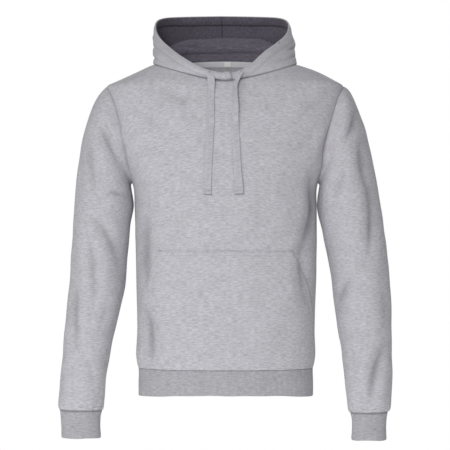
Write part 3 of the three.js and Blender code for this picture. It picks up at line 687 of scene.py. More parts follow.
@dataclass(frozen=True)
class Thread:
    """Stitches that lie on the cloth: their pitch, length and thickness, and how dark they are."""

    pitch: float = 3.1
    length: float = 2.5
    thick: float = 0.55
    sides: int = 6
    shade: float = 3.0
    proud: float = 0.12
    ends_sink: float = 0.3
    rings: tuple[StitchRing, ...] = (
        StitchRing(-0.5, 0.35),
        StitchRing(-0.36, 0.85),
        StitchRing(0.0, 1.0),
        StitchRing(0.36, 0.85),
        StitchRing(0.5, 0.35),
    )

    def spots(self, line: Array, normals: Array) -> Array:
        """Spaces stitches evenly along a line.

        Args:
            line: points on the cloth.
            normals: the ways that they face.

        Returns:
            Each stitch's middle, the way it runs, and the way it faces.
        """
        along = lengths_along(line, 0)
        count = max(int((along[-1] - self.length) // self.pitch), 0) + 1
        at = (along[-1] - (count - 1) * self.pitch) / 2 + self.pitch * np.arange(count)
        step = 0.6
        ahead = unit(walked(line, at + step) - walked(line, at - step))
        return np.stack([walked(line, at), ahead, unit(read_along(along, normals, at))], axis=1)

    def mesh(self, name: str, spots: Array) -> bpy.types.Object:
        """Makes one mesh of all the stitches at some spots."""
        middle, ahead, facing = (spots[:, k, None] for k in range(3))
        beside = unit(np.cross(ahead, facing))
        turns = np.tile(np.linspace(0, 2 * HALF_TURN, self.sides, endpoint=False), len(self.rings))
        place = np.repeat([ring.place for ring in self.rings], self.sides)
        radius = np.repeat([ring.size for ring in self.rings], self.sides) * self.thick / 2
        sunk = self.ends_sink * (2 * place) ** 2 - self.proud
        vertices = (
            middle
            + ahead * (place * self.length)[:, None]
            + beside * (radius * np.cos(turns))[:, None]
            + facing * (radius * np.sin(turns) - sunk)[:, None]
        )
        each = vertices.shape[1]
        quads = tube_quads(np.arange(each).reshape(-1, self.sides))
        faces = (quads[None] + each * np.arange(len(spots))[:, None, None]).reshape(-1, 4)
        flat = np.tile(np.stack([place * self.length, turns], axis=-1) * MM, (len(spots), 1))
        troughs = np.full(len(flat), self.shade)
        return make_mesh(name, vertices.reshape(-1, 3), faces, flat[faces], troughs)


THREAD = Thread()
TACK_THREAD = Thread(pitch=0.42, length=2.2, thick=0.6, shade=7.0)
EYELET_THREAD = Thread(length=1.8, thick=0.6, shade=5.0)
DOME = (StitchRing(-0.5, 0.8), StitchRing(0, 1), StitchRing(0.5, 0.6))
EYELET_HOLE = Thread(length=0.8, thick=3.2, sides=20, rings=DOME)


def sew(thread: Thread, name: str, lines: Sequence[tuple[Array, Array]], looks: "Looks", node: str) -> None:
    """Sews rows of stitches along lines on the cloth.

    Args:
        thread: the kind of stitch.
        name: the new piece's name.
        lines: the points of each line, and the ways that they face.
        looks: the finishes.
        node: the solid that the cloth stands for.
    """
    spots = np.concatenate([thread.spots(*line) for line in lines])
    dress(thread.mesh(name, spots), looks.thread, node)


def tack(start: Array, end: Array, facing: Array) -> Array:
    """The short close stitches of a bar tack, which lie across the line from start to end."""
    spots = TACK_THREAD.spots(np.stack([start, end]), np.stack([facing, facing]))
    spots[:, 1] = np.cross(spots[:, 1], spots[:, 2])
    return spots


# The trunk that the panels lie on


@dataclass(frozen=True)
class Slice:
    """The trunk at one height: half its width, its depth before and behind, and a shift across."""

    height: float
    half: float
    front: float
    back: float
    shift: float


@dataclass(frozen=True)
class Trunk:
    """The filled-out form of the body of the garment."""

    squareness: float = 2.4
    slices: tuple[Slice, ...] = (
        Slice(-616, 180, 110, 106, 1),
        Slice(-590, 183.5, 117, 112, 1),
        Slice(-540, 181.5, 118, 112, 1.5),
        Slice(-460, 183.5, 121, 113, 2),
        Slice(-360, 185.5, 124, 117, 2),
        Slice(-290, 186.5, 126, 121, 1),
        Slice(-245, 188.5, 127, 123, 0),
        Slice(-200, 208, 125, 124, 0),
        Slice(-150, 225, 120, 122, 0),
        Slice(-100, 236, 112, 117, 0),
        Slice(-65, 241, 102, 109, 0),
        Slice(-41, 244, 91, 99, 0),
        Slice(-18, 246, 76, 87, 0),
        Slice(3, 247, 62, 78, 0),
        Slice(20, 248, 56, 73, 0),
    )
    tip_x: float = 242
    tip_z: float = -41
    neck_x: float = 147
    neck_z: float = 2
    rounding: float = 3
    left_rise: float = 4.5
    rise_from: float = -110
    rise_over: float = 70
    top: float = 25

    @cached_property
    def _curves(self) -> dict[str, Curve]:
        """A curve for each field of the slices."""
        return {name: curve_of(self.slices, "height", name) for name in ("half", "front", "back", "shift")}

    def half_width(self, z: Array | float) -> Array:
        """Half the trunk's width, which the slope of the shoulders cuts off above the tip."""
        body = self._curves["half"](z)
        fall = (self.neck_x - self.tip_x) / (self.neck_z - self.tip_z)
        slope = self.tip_x + (np.asarray(z, float) - self.tip_z) * fall
        least = np.minimum(body, slope)
        over = np.exp((least - body) / self.rounding) + np.exp((least - slope) / self.rounding)
        return least - self.rounding * np.log(over)

    def depth(self, z: Array | float, face: Face) -> Array:
        """How far the front or back lies from the middle."""
        return self._curves[face.word](z)

    def place(self, angle: Array, z: Array, face: Face, side: Side) -> Array:
        """Points on the trunk.

        Args:
            angle: how far each is from the side seam, as a turn about the middle.
            z: their heights.
            face: front or back.
            side: right or left.

        Returns:
            One point for each angle.
        """
        across, through = squared(np.clip(angle, 0, QUARTER_TURN), self.squareness)
        x = side.value * self.half_width(z) * across + self._curves["shift"](z)
        y = face.value * self.depth(z, face) * through
        return np.stack([x, y, z + 0 * x], axis=-1)

    def full_shoulder(self, points: Array) -> Array:
        """Lifts the left shoulder, which is fuller than the right along its seam."""
        t = np.clip((points[..., 0] - self.neck_x) / (self.tip_x - self.neck_x), 0, 1)
        high = eased((points[..., 2] - self.rise_from) / self.rise_over)
        rise = self.left_rise * np.sin(HALF_TURN * t) * high
        return points + rise[..., None] * np.array([0.0, 0.0, 1.0])

    def outside(self, points: Array) -> Array:
        """How far outside the trunk each point lies: less than 0 is inside."""
        x, y, z = points[..., 0], points[..., 1], points[..., 2]
        low = np.minimum(z, self.top)
        across = np.abs(x - self._curves["shift"](low)) / self.half_width(low)
        reach = np.where(y < 0, self.depth(low, Face.FRONT), self.depth(low, Face.BACK))
        ratio = (across**self.squareness + (np.abs(y) / reach) ** self.squareness) ** (1 / self.squareness)
        return np.where(z > self.top, z, (ratio - 1) * np.hypot(x, y))

    def normals(self, points: Array) -> Array:
        """The way the trunk's surface faces at each point."""
        step = 0.5
        slopes = []
        for axis in range(3):
            move = np.zeros(3)
            move[axis] = step
            slopes.append(self.outside(points + move) - self.outside(points - move))
        return unit(np.stack(slopes, axis=-1))

    def clear_of(self, points: Array, clear: Array) -> Array:
        """Moves points out of the trunk, in small rounds, until they are "clear" away from it."""
        rounds, share = 8, 0.8
        for _ in range(rounds):
            short = np.maximum(clear - self.outside(points), 0)
            points = points + self.normals(points) * (share * short)[..., None]
        return points


TRUNK = Trunk()


@dataclass(frozen=True)
class NeckSeam:
    """Where the hood meets the panels."""

    front_drop: float = -36
    front_bend: float = 1.5
    back_rise: float = 15
    back_bend: float = 2
    corner: float = 0.9

    def height(self, x: Array, face: Face) -> Array:
        """The seam's height at a distance from the centre."""
        share = np.abs(x) / TRUNK.neck_x
        if face is Face.FRONT:
            return mix(self.front_drop, TRUNK.neck_z, share**self.front_bend)
        return mix(self.back_rise, TRUNK.neck_z, share**self.back_bend)

    def place(self, share: Array, face: Face) -> tuple[Array, Array]:
        """The seam's angle and height at a share of the way from the shoulder to the centre."""
        reach = TRUNK.half_width(TRUNK.neck_z) * np.clip(np.cos(share * QUARTER_TURN), 0, 1) ** self.corner
        z = self.height(reach, face)
        across = np.clip(reach / TRUNK.half_width(z), 0, 1)
        angle = np.arccos(across ** (TRUNK.squareness / 2))
        return np.where(share <= 0, 0.0, angle), z


NECK = NeckSeam()


@dataclass(frozen=True)
class PocketEdge:
    """The angle round the trunk of the pocket's edge, or of the grain in line with it."""

    height: float
    angle: float


# The two panels


@dataclass
class Panels:
    """The front and back panels, each cut in one piece."""

    fleece: float = 2.0
    underarm: float = -245
    armhole: dict[Face, float] = field(default_factory=lambda: {Face.FRONT: 59, Face.BACK: 61})
    shoulder_share: float = 5 / 12
    pocket_share: float = 3 / 12
    pocket_top: float = -378
    pocket_opening: float = -524
    hem_stitches: tuple[float, float] = (2.6, 7.6)
    armhole_stitches: tuple[float, float] = (2.4, 7.4)
    neck_stitches: float = 2.6
    edges: tuple[PocketEdge, ...] = (
        PocketEdge(-616, 0.25),
        PocketEdge(-592, 0.25),
        PocketEdge(-560, 0.25),
        PocketEdge(-524, 0.25),
        PocketEdge(-490, 0.37),
        PocketEdge(-462, 0.46),
        PocketEdge(-438, 0.55),
        PocketEdge(-415, 0.66),
        PocketEdge(-395, 0.76),
        PocketEdge(-378, 0.83),
        PocketEdge(-335, 0.66),
        PocketEdge(-290, 0.48),
        PocketEdge(-245, QUARTER_TURN * 3 / 12),
    )
    sleeve_squareness: float = 2.15
    columns: tuple[int, int, int] = (18, 10, 42)
    rows: tuple[int, int, int] = (54, 32, 68)
    fine_side: tuple[float, ...] = (0.0025, 0.006, 0.01, 0.0155, 0.022, 0.029, 0.037)
    fine_pocket: tuple[float, ...] = (0.003, 0.006, 0.0095, 0.014, 0.021, 0.028, 0.035, 0.042)
    fine_row: tuple[float, ...] = (0.7, 1.5, 2.4, 3.5, 5.0, 6.5, 7.6, 8.8, 10.5)

    def __post_init__(self) -> None:
        """Lays out the rows and columns that both panels share."""
        to_pocket, to_neck, to_centre = self.columns
        shares = [spread(0, self.pocket_share, to_pocket, self.fine_side)]
        shares.append(spread(self.pocket_share, self.shoulder_share, to_neck, self.fine_pocket)[1:])
        shares.append(spread(self.shoulder_share, 1, to_centre)[1:])
        self.shares = np.concatenate(shares)
        to_top, to_underarm, self.armhole_rows = self.rows
        below = spread(HEM_SEAM, self.pocket_top - self.fine_row[-1], to_top, self.fine_row)[:-1]
        under_top = self.pocket_top - np.array([*self.fine_row[::-1], 0.0])
        above = spread(self.pocket_top, self.underarm, to_underarm, self.fine_row[:3])[1:]
        self.heights = np.concatenate([below, under_top, above])[:-1]
        self.turns = np.linspace(0, 1, self.armhole_rows + 1)
        self.pocket_column = int(np.argmin(np.abs(self.shares - self.pocket_share)))
        self.pocket_row = int(np.argmin(np.abs(self.heights - self.pocket_top)))
        self.neck_column = int(np.argmin(np.abs(self.shares - self.shoulder_share)))
        self.centre = len(self.shares) - 1
        self.underarm_row = len(self.heights)
        self.plain_low: dict[Face, Array] = {}
        self.cloth = {face: self._cloth(face) for face in Face}

    def armhole_place(self, turns: Array, face: Face) -> tuple[Array, Array]:
        """The armhole seam's angles and heights, from the underarm (0) to the shoulder tip (1)."""
        turn = HALF_TURN * (1 - turns)
        z = (TRUNK.tip_z + self.underarm) / 2 + (TRUNK.tip_z - self.underarm) / 2 * np.cos(turn)
        y = self.armhole[face] * np.clip(np.sin(turn), 0, 1) ** (2 / self.sleeve_squareness)
        deep = np.clip(y / TRUNK.depth(z, face), 0, 1)
        return np.arcsin(deep ** (TRUNK.squareness / 2)), z

    def _low_places(self, face: Face) -> tuple[Array, Array]:
        """Angles and heights below the underarm."""
        edge = curve_of(self.edges, "height", "angle")(self.heights)[:, None]
        if face is Face.BACK:
            edge = np.full_like(edge, QUARTER_TURN * self.pocket_share)
        share = self.shares[None]
        inside = (share - self.pocket_share) / (1 - self.pocket_share)
        angle = np.where(inside <= 0, edge * share / self.pocket_share, mix(edge, QUARTER_TURN, inside))
        return angle, self.heights[:, None] + 0 * share

    def _high_places(self, face: Face) -> tuple[Array, Array]:
        """Angles and heights above the underarm, between armhole, shoulder, neck and centre."""
        share = self.shares
        along_neck = (share - self.shoulder_share) / (1 - self.shoulder_share)
        neck_angle, neck_z = NECK.place(np.clip(along_neck, 0, 1), face)
        shoulder_z = mix(TRUNK.tip_z, TRUNK.neck_z, share / self.shoulder_share)
        on_neck = share > self.shoulder_share + 1e-9
        top_angle = np.where(on_neck, neck_angle, 0.0)[None]
        top_z = np.where(on_neck, neck_z, shoulder_z)[None]
        rise = ((1 - np.cos(HALF_TURN * self.turns)) / 2)[:, None]
        side_angle, side_z = (x[:, None] for x in self.armhole_place(self.turns, face))
        centre_z = mix(self.underarm, top_z[:, -1:], rise)
        share = share[None]
        foot = QUARTER_TURN * share
        angle = mix(foot, top_angle, rise) + mix(side_angle, QUARTER_TURN, share) - QUARTER_TURN * share
        corners = mix(self.underarm, mix(TRUNK.tip_z, top_z[:, -1:], share), rise)
        z = mix(self.underarm, top_z, rise) + mix(side_z, centre_z, share) - corners
        return np.maximum(angle, 0), z

    def _cloth(self, face: Face) -> Cloth:
        """One panel's outer face, wearer's right to left."""
        low, high = self._low_places(face), self._high_places(face)
        angle, z = (np.concatenate([low[k], high[k]]) for k in range(2))
        right = TRUNK.place(angle, z, face, Side.RIGHT)
        left = TRUNK.place(angle, z, face, Side.LEFT)
        plain = np.concatenate([right, left[:, -2::-1]], axis=1)
        form = TRUNK.normals(plain)
        points, depth = folded(TRUNK.full_shoulder(plain), form)
        facing = grid_normals(points, False, face is Face.BACK)
        for edge in (np.s_[0], np.s_[-1], np.s_[:, 0], np.s_[:, -1]):
            facing[edge] = form[edge]
        cloth = Cloth(points, facing, False, depth)
        self.plain_low[face] = plain[0]
        edges = np.minimum.reduce([cloth.from_edge(edge) for edge in Edge])
        return cloth.raised(RIPPLES.at(points, edges))

    def armhole_ring(self, side: Side) -> Array:
        """The armhole seam, from the shoulder tip down the front and up the back."""
        column = 0 if side is Side.RIGHT else -1
        front = self.cloth[Face.FRONT].points[self.underarm_row :, column]
        back = self.cloth[Face.BACK].points[self.underarm_row :, column]
        return np.concatenate([front[::-1], back[1:-1]])

    def share_armhole(self, side: Side, normals: Array) -> None:
        """Takes the way that the sleeve faces along the armhole."""
        column = 0 if side is Side.RIGHT else -1
        rows = self.armhole_rows
        self.cloth[Face.FRONT].normals[self.underarm_row :, column] = normals[: rows + 1][::-1]
        upward = np.concatenate([normals[rows:], normals[:1]])
        self.cloth[Face.BACK].normals[self.underarm_row :, column] = upward

    def neck_line(self, side: Side) -> Array:
        """The neck seam on one side, from the centre front round to the centre back."""
        centre, corner = self.centre, self.neck_column
        step = side.value
        ends = centre + step * (centre - corner) + step
        columns = slice(centre, ends if ends >= 0 else None, step)
        front = self.cloth[Face.FRONT].points[-1, columns]
        back = self.cloth[Face.BACK].points[-1, columns][::-1]
        return np.concatenate([front, back[1:]])

    def share_neck(self, side: Side, normals: Array) -> None:
        """Takes the way that the hood faces along the neck seam."""
        count = self.centre - self.neck_column
        for i, normal in enumerate(normals):
            if i <= count:
                self.cloth[Face.FRONT].normals[-1, self.centre + side.value * i] = normal
            if i >= count:
                self.cloth[Face.BACK].normals[-1, self.centre + side.value * (2 * count - i)] = normal

    def build(self, looks: "Looks") -> None:
        """Makes both panels, drawn in along every seam."""
        hem_lines = [(Edge.LOW, away) for away in self.hem_stitches]
        side_lines = [(edge, away) for edge in (Edge.LEFT, Edge.RIGHT) for away in self.armhole_stitches]
        for face, cloth in self.cloth.items():
            sewn = cloth.seamed((Edge.LOW, Edge.HIGH)).seamed((Edge.LEFT, Edge.RIGHT), SIDE_SEAM)
            sewn = sewn.pinched(hem_lines)
            obj = sewn.wall(f"{face.word}_panel", self.fleece)
            dress(obj, looks.fleece, f"body_{face.word}")
            lay_out(obj, cloth)
            neck = slice(self.neck_column, 2 * self.centre - self.neck_column + 1)
            above = sewn.part(slice(self.underarm_row, None), slice(None))
            rows = [sewn.line_at(*line) for line in hem_lines]
            rows += [above.line_at(*line) for line in side_lines]
            rows.append(sewn.part(slice(None), neck).line_at(Edge.HIGH, self.neck_stitches))
            sew(THREAD, f"{face.word}_stitching", rows, looks, f"body_{face.word}")


@dataclass(frozen=True)
class Ring:
    """A sleeve's silhouette at one place: outer and inner point, depths, and swing forward."""

    out_x: float
    out_z: float
    in_x: float
    in_z: float
    front: float
    back: float
    swing: float


@dataclass(frozen=True)
class Tucks:
    """Small uneven tucks round the foot of a sleeve that is fuller than its cuff."""

    height: float = 0.7
    wide: int = 13
    wide_drift: float = 1.3
    drifts: int = 3
    narrow: int = 21
    narrow_share: float = 0.6
    narrow_start: float = 2.1
    calm: float = 3
    reach: float = 14

    def at(self, turn: Array, above: Array) -> Array:
        """How far the tucks stand out.

        Args:
            turn: the angle round the sleeve.
            above: the distance above the cuff.

        Returns:
            Heights in millimetres.
        """
        wide = np.sin(self.wide * turn + self.wide_drift * np.sin(self.drifts * turn))
        narrow = self.narrow_share * np.sin(self.narrow * turn + self.narrow_start)
        return self.height * (wide + narrow) * eased(above / self.calm) * np.exp(-above / self.reach)


@dataclass(frozen=True)
class CuffRow:
    """A ring of a cuff: how far down it is, and how much narrower and flatter than the seam."""

    down: float
    narrow: float
    flatten: float


@dataclass(frozen=True)
class BandRows:
    """How far down the rings of a rib band lie: close at its seam and where it turns under."""

    straight_to: float
    straight_rows: int
    turn_under: tuple[float, ...]
    at_seam: tuple[float, ...] = (0, 0.7, 1.7, 3.2)
    straight_from: float = 5.2

    def downs(self) -> Array:
        """The distances below the seam."""
        straight = np.linspace(self.straight_from, self.straight_to, self.straight_rows)
        return np.r_[self.at_seam, straight, self.turn_under]


@dataclass(frozen=True)
class BandWave:
    """The slow unevenness of a rib band, which is calm near its seam."""

    reaches: tuple[float, float]
    starts: tuple[float, float]
    calm: float
    height: float = 0.8

    def at(self, first: Array, second: Array, downs: Array) -> Array:
        """How far the band stands out where two waves meet.

        Args:
            first: the places that the first wave runs along.
            second: the places that the second one runs along.
            downs: how far down each ring is.

        Returns:
            Heights in millimetres.
        """
        waves = np.sin(first / self.reaches[0] + self.starts[0])
        waves = waves * np.sin(second / self.reaches[1] + self.starts[1])
        return self.height * waves * eased(downs / self.calm)[:, None]


@dataclass
class Sleeve:
    """A set-in sleeve with its ribbed cuff."""

    side: Side
    rings: tuple[Ring, ...]
    fleece: float = 2.0
    rib: float = 2.6
    squareness: float = 2.15
    steps: int = 11
    first_steps: tuple[float, ...] = (0, 0.09, 0.2, 0.36, 0.56, 0.78)
    last_steps: tuple[float, ...] = (0.0, 0.3, 0.55, 0.75, 0.88, 0.95, 1.0)
    smooth_top: float = 45
    foot_stitches: float = 2.6
    tucks: Tucks = Tucks()
    cuff_rows: tuple[CuffRow, ...] = (
        CuffRow(0, 0, 0),
        CuffRow(3, 1.9, 1.6),
        CuffRow(13, 3.5, 3),
        CuffRow(34, 4.5, 4.5),
        CuffRow(52, 4, 4.4),
        CuffRow(54.8, 4.5, 4.9),
        CuffRow(55.5, 5.4, 5.9),
    )
    cuff_downs: BandRows = BandRows(51.5, 19, (53.2, 54.4, 55.1, 55.5))
    cuff_level: float = 20
    cuff_wave: BandWave = BandWave((9, 17), (1, 0), 12)

    def _ring(self, ring: Ring, turn: Array) -> Array:
        """The points of one ring at angles from the outer line, front first."""
        across, deep = squared(turn, self.squareness)
        x = mix(ring.in_x, ring.out_x, (across + 1) / 2)
        z = mix(ring.in_z, ring.out_z, (across + 1) / 2)
        y = -ring.swing - deep * np.where(deep > 0, ring.front, ring.back)
        return np.stack([self.side.value * x, y, z], axis=-1)

    def sew_to(self, panels: Panels) -> None:
        """Grows the sleeve from the armhole, and gives the panels the way it faces there."""
        armhole = panels.armhole_ring(self.side)
        turns = HALF_TURN * np.arange(len(armhole)) / panels.armhole_rows
        coarse = np.stack([armhole, *(self._ring(ring, turns) for ring in self.rings)])
        middle = np.arange(1, len(coarse) - 1, 1 / self.steps)
        last = np.array(self.last_steps) + len(coarse) - 2
        stations = np.unique(np.r_[self.first_steps, middle, last])
        points = Curve(np.arange(len(coarse)), coarse)(stations)
        inwards = self.side is Side.RIGHT
        facing = grid_normals(points, True, inwards)
        started = eased(lengths_along(points, 0) / self.smooth_top)
        points, depth = folded(points, facing, started)
        facing = grid_normals(points, True, inwards)
        facing[0] = unit(facing[0] + TRUNK.normals(points[0]))
        panels.share_armhole(self.side, facing[0])
        cloth = Cloth(points, facing, True, depth)
        above = cloth.from_edge(Edge.HIGH)
        ends = np.minimum(cloth.from_edge(Edge.LOW), above)
        round_sleeve = np.linspace(0, 2 * HALF_TURN, points.shape[1], endpoint=False)[None]
        points = cloth.raised(RIPPLES.at(points, ends) + self.tucks.at(round_sleeve, above)).points
        facing_now = grid_normals(points, True, inwards)
        facing_now[0] = facing[0]
        self.cloth = Cloth(points, facing_now, True, depth, Edge.HIGH)

    def build(self, looks: "Looks") -> None:
        """Makes the sleeve and its cuff."""
        word, line = self.side.word, (Edge.HIGH, self.foot_stitches)
        sewn = self.cloth.seamed((Edge.HIGH,)).seamed((Edge.LOW,), SIDE_SEAM).pinched([line])
        obj = sewn.wall(f"{word}_sleeve", self.fleece)
        dress(obj, looks.fleece, f"sleeve_{word}")
        lay_out(obj, self.cloth)
        sew(THREAD, f"{word}_sleeve_stitching", [sewn.line_at(*line)], looks, f"sleeve_{word}")
        cuff = self._cuff_cloth()
        obj = cuff.seamed((Edge.LOW,)).wall(f"{word}_cuff", self.rib)
        dress(obj, looks.rib, f"cuff_{word}")
        lay_out(obj, cuff)

    def _cuff_cloth(self) -> Cloth:
        """The cuff, grown from the sleeve's last ring and drawn in by its ribs."""
        seam = self.cloth.points[-1]
        centre = seam.mean(axis=0)
        arm = seam - centre
        half_x, half_y = np.abs(arm[:, 0]).max(), np.abs(arm[:, 1]).max()
        narrow = curve_of(self.cuff_rows, "down", "narrow")
        flatten = curve_of(self.cuff_rows, "down", "flatten")
        downs = self.cuff_downs.downs()
        rows = []
        for down in downs:
            level = arm[:, 2] * (1 - min(down / self.cuff_level, 1))
            x = arm[:, 0] * (1 - narrow(down) / half_x)
            y = arm[:, 1] * (1 - flatten(down) / half_y)
            rows.append(centre + np.stack([x, y, level - down], axis=-1))
        points = np.stack(rows)
        facing = grid_normals(points, True, self.side is Side.RIGHT)
        facing[0] = self.cloth.normals[-1]
        wave = self.cuff_wave.at(points[..., 0], points[..., 2], downs)
        return Cloth(points + facing * wave[..., None], facing, True)


LEFT_RINGS = (
    Ring(250, -47, 190.8, -240.8, 62, 63, 0),
    Ring(259, -59, 193, -245, 65, 66, 0),
    Ring(268.5, -80, 191.6, -256, 69, 71, 0),
    Ring(281.5, -114, 189.3, -272, 72, 75, 0),
    Ring(295.5, -162, 188.6, -294, 74, 77, 1),
    Ring(308, -228, 195.5, -328, 73, 76, 2),
    Ring(321.5, -310, 206, -373, 70, 73, 4),
    Ring(332, -388, 216, -425, 66, 69, 6),
    Ring(338, -458, 221.5, -472, 62, 64, 9),
    Ring(339.5, -522, 228, -526, 57, 59, 12),
    Ring(340, -580, 236.5, -582, 52, 54, 16),
    Ring(341, -630, 243, -631, 47, 49, 20),
    Ring(339.5, -676, 247.5, -678, 42, 43, 23),
    Ring(337, -698, 250, -700, 37, 37, 24),
    Ring(332.5, -707, 253.5, -708.5, 31, 31, 25),
)
RIGHT_RINGS = (
    Ring(250, -50, 190.8, -240.8, 62, 63, 0),
    Ring(260.5, -64, 193, -245, 65, 66, 0),
    Ring(272, -86, 191.6, -256, 69, 71, 0),
    Ring(284.5, -120, 189, -271, 72, 75, 0),
    Ring(296, -168, 187.6, -290, 74, 77, 1),
    Ring(304, -232, 192.5, -322, 73, 76, 2),
    Ring(310, -312, 198, -366, 70, 73, 4),
    Ring(315, -390, 202.5, -418, 66, 69, 6),
    Ring(320, -458, 207.5, -468, 62, 64, 9),
    Ring(326.5, -520, 221, -524, 57, 59, 12),
    Ring(331, -580, 234, -582, 52, 54, 16),
    Ring(335.5, -630, 241.5, -631, 47, 49, 20),
    Ring(339, -674, 245.5, -676, 42, 43, 23),
    Ring(340, -692, 247, -695, 37, 37, 24),
    Ring(338, -703, 249.5, -704, 32, 32, 25),
)


@dataclass(frozen=True)
class HemRow:
    """A ring of the hem band: how far down it is, how far it draws in, and its droop at the sides."""

    down: float
    inset: float
    sag: float


@dataclass
class HemBand:
    """The folded rib band round the hem."""

    rib: float = 2.6
    rows: tuple[HemRow, ...] = (
        HemRow(0, 0, 0),
        HemRow(3, 1.4, 0.6),
        HemRow(8, 1.8, 1.5),
        HemRow(26, 1, 4),
        HemRow(48.5, 1.1, 6.5),
        HemRow(51.2, 1.5, 6.5),
        HemRow(52, 2.4, 6.5),
    )
    folds_kept: Curve = Curve((0, 12, 52), (1, 0.35, 0))
    downs: BandRows = BandRows(48.5, 18, (50.2, 51.2, 51.8, 52))
    wave: BandWave = BandWave((15, 41), (0.6, 2), 14)

    def build(self, panels: Panels, looks: "Looks") -> None:
        """Makes the band from the lowest rows of both panels."""
        front, back = (panels.cloth[face] for face in Face)
        plain = self._round_hem(panels.plain_low[Face.FRONT], panels.plain_low[Face.BACK])
        folds = self._round_hem(front.points[0], back.points[0]) - plain
        outward = unit(TRUNK.normals(plain) * np.array([1.0, 1.0, 0.0]))
        inset = curve_of(self.rows, "down", "inset")
        sag = curve_of(self.rows, "down", "sag")
        downs = self.downs.downs()
        rows = []
        for down in downs:
            droop = sag(down) * np.abs(plain[:, 0] / TRUNK.slices[0].half) ** 3
            row = np.stack([plain[:, 0], plain[:, 1], HEM_SEAM - down - droop], axis=-1)
            rows.append(row - outward * inset(down) + self.folds_kept(down) * folds)
        points = np.stack(rows)
        facing = grid_normals(points, True, True)
        facing[0] = self._round_hem(front.normals[0], back.normals[0])
        wave = self.wave.at(points[..., 0], points[..., 0], downs)
        cloth = Cloth(points + facing * wave[..., None], facing, True)
        obj = cloth.seamed((Edge.LOW,)).wall("hem_rib", self.rib)
        dress(obj, looks.rib, "hem_band")
        lay_out(obj, cloth)

    def _round_hem(self, front: Array, back: Array) -> Array:
        """The front's row from right to left, and then the back's from left to right."""
        return np.concatenate([front, back[::-1][1:-1]])


# The hood


@dataclass(frozen=True)
class RimPoint:
    """The hood's rim at a share of the neck seam, centre front (0) to centre back (1)."""

    share: float
    x: float
    y: float
    z: float
    lean: float


@dataclass(frozen=True)
class PouchPoint:
    """The hood's section at the centre back: share of its length, and how far out and up."""

    share: float
    out: float
    up: float


@dataclass(frozen=True)
class HoodFold:
    """A fold of the hood, by shares of the neck seam and of the height, on one side."""

    side: Side
    start: tuple[float, float]
    end: tuple[float, float]
    width: float
    depth: float


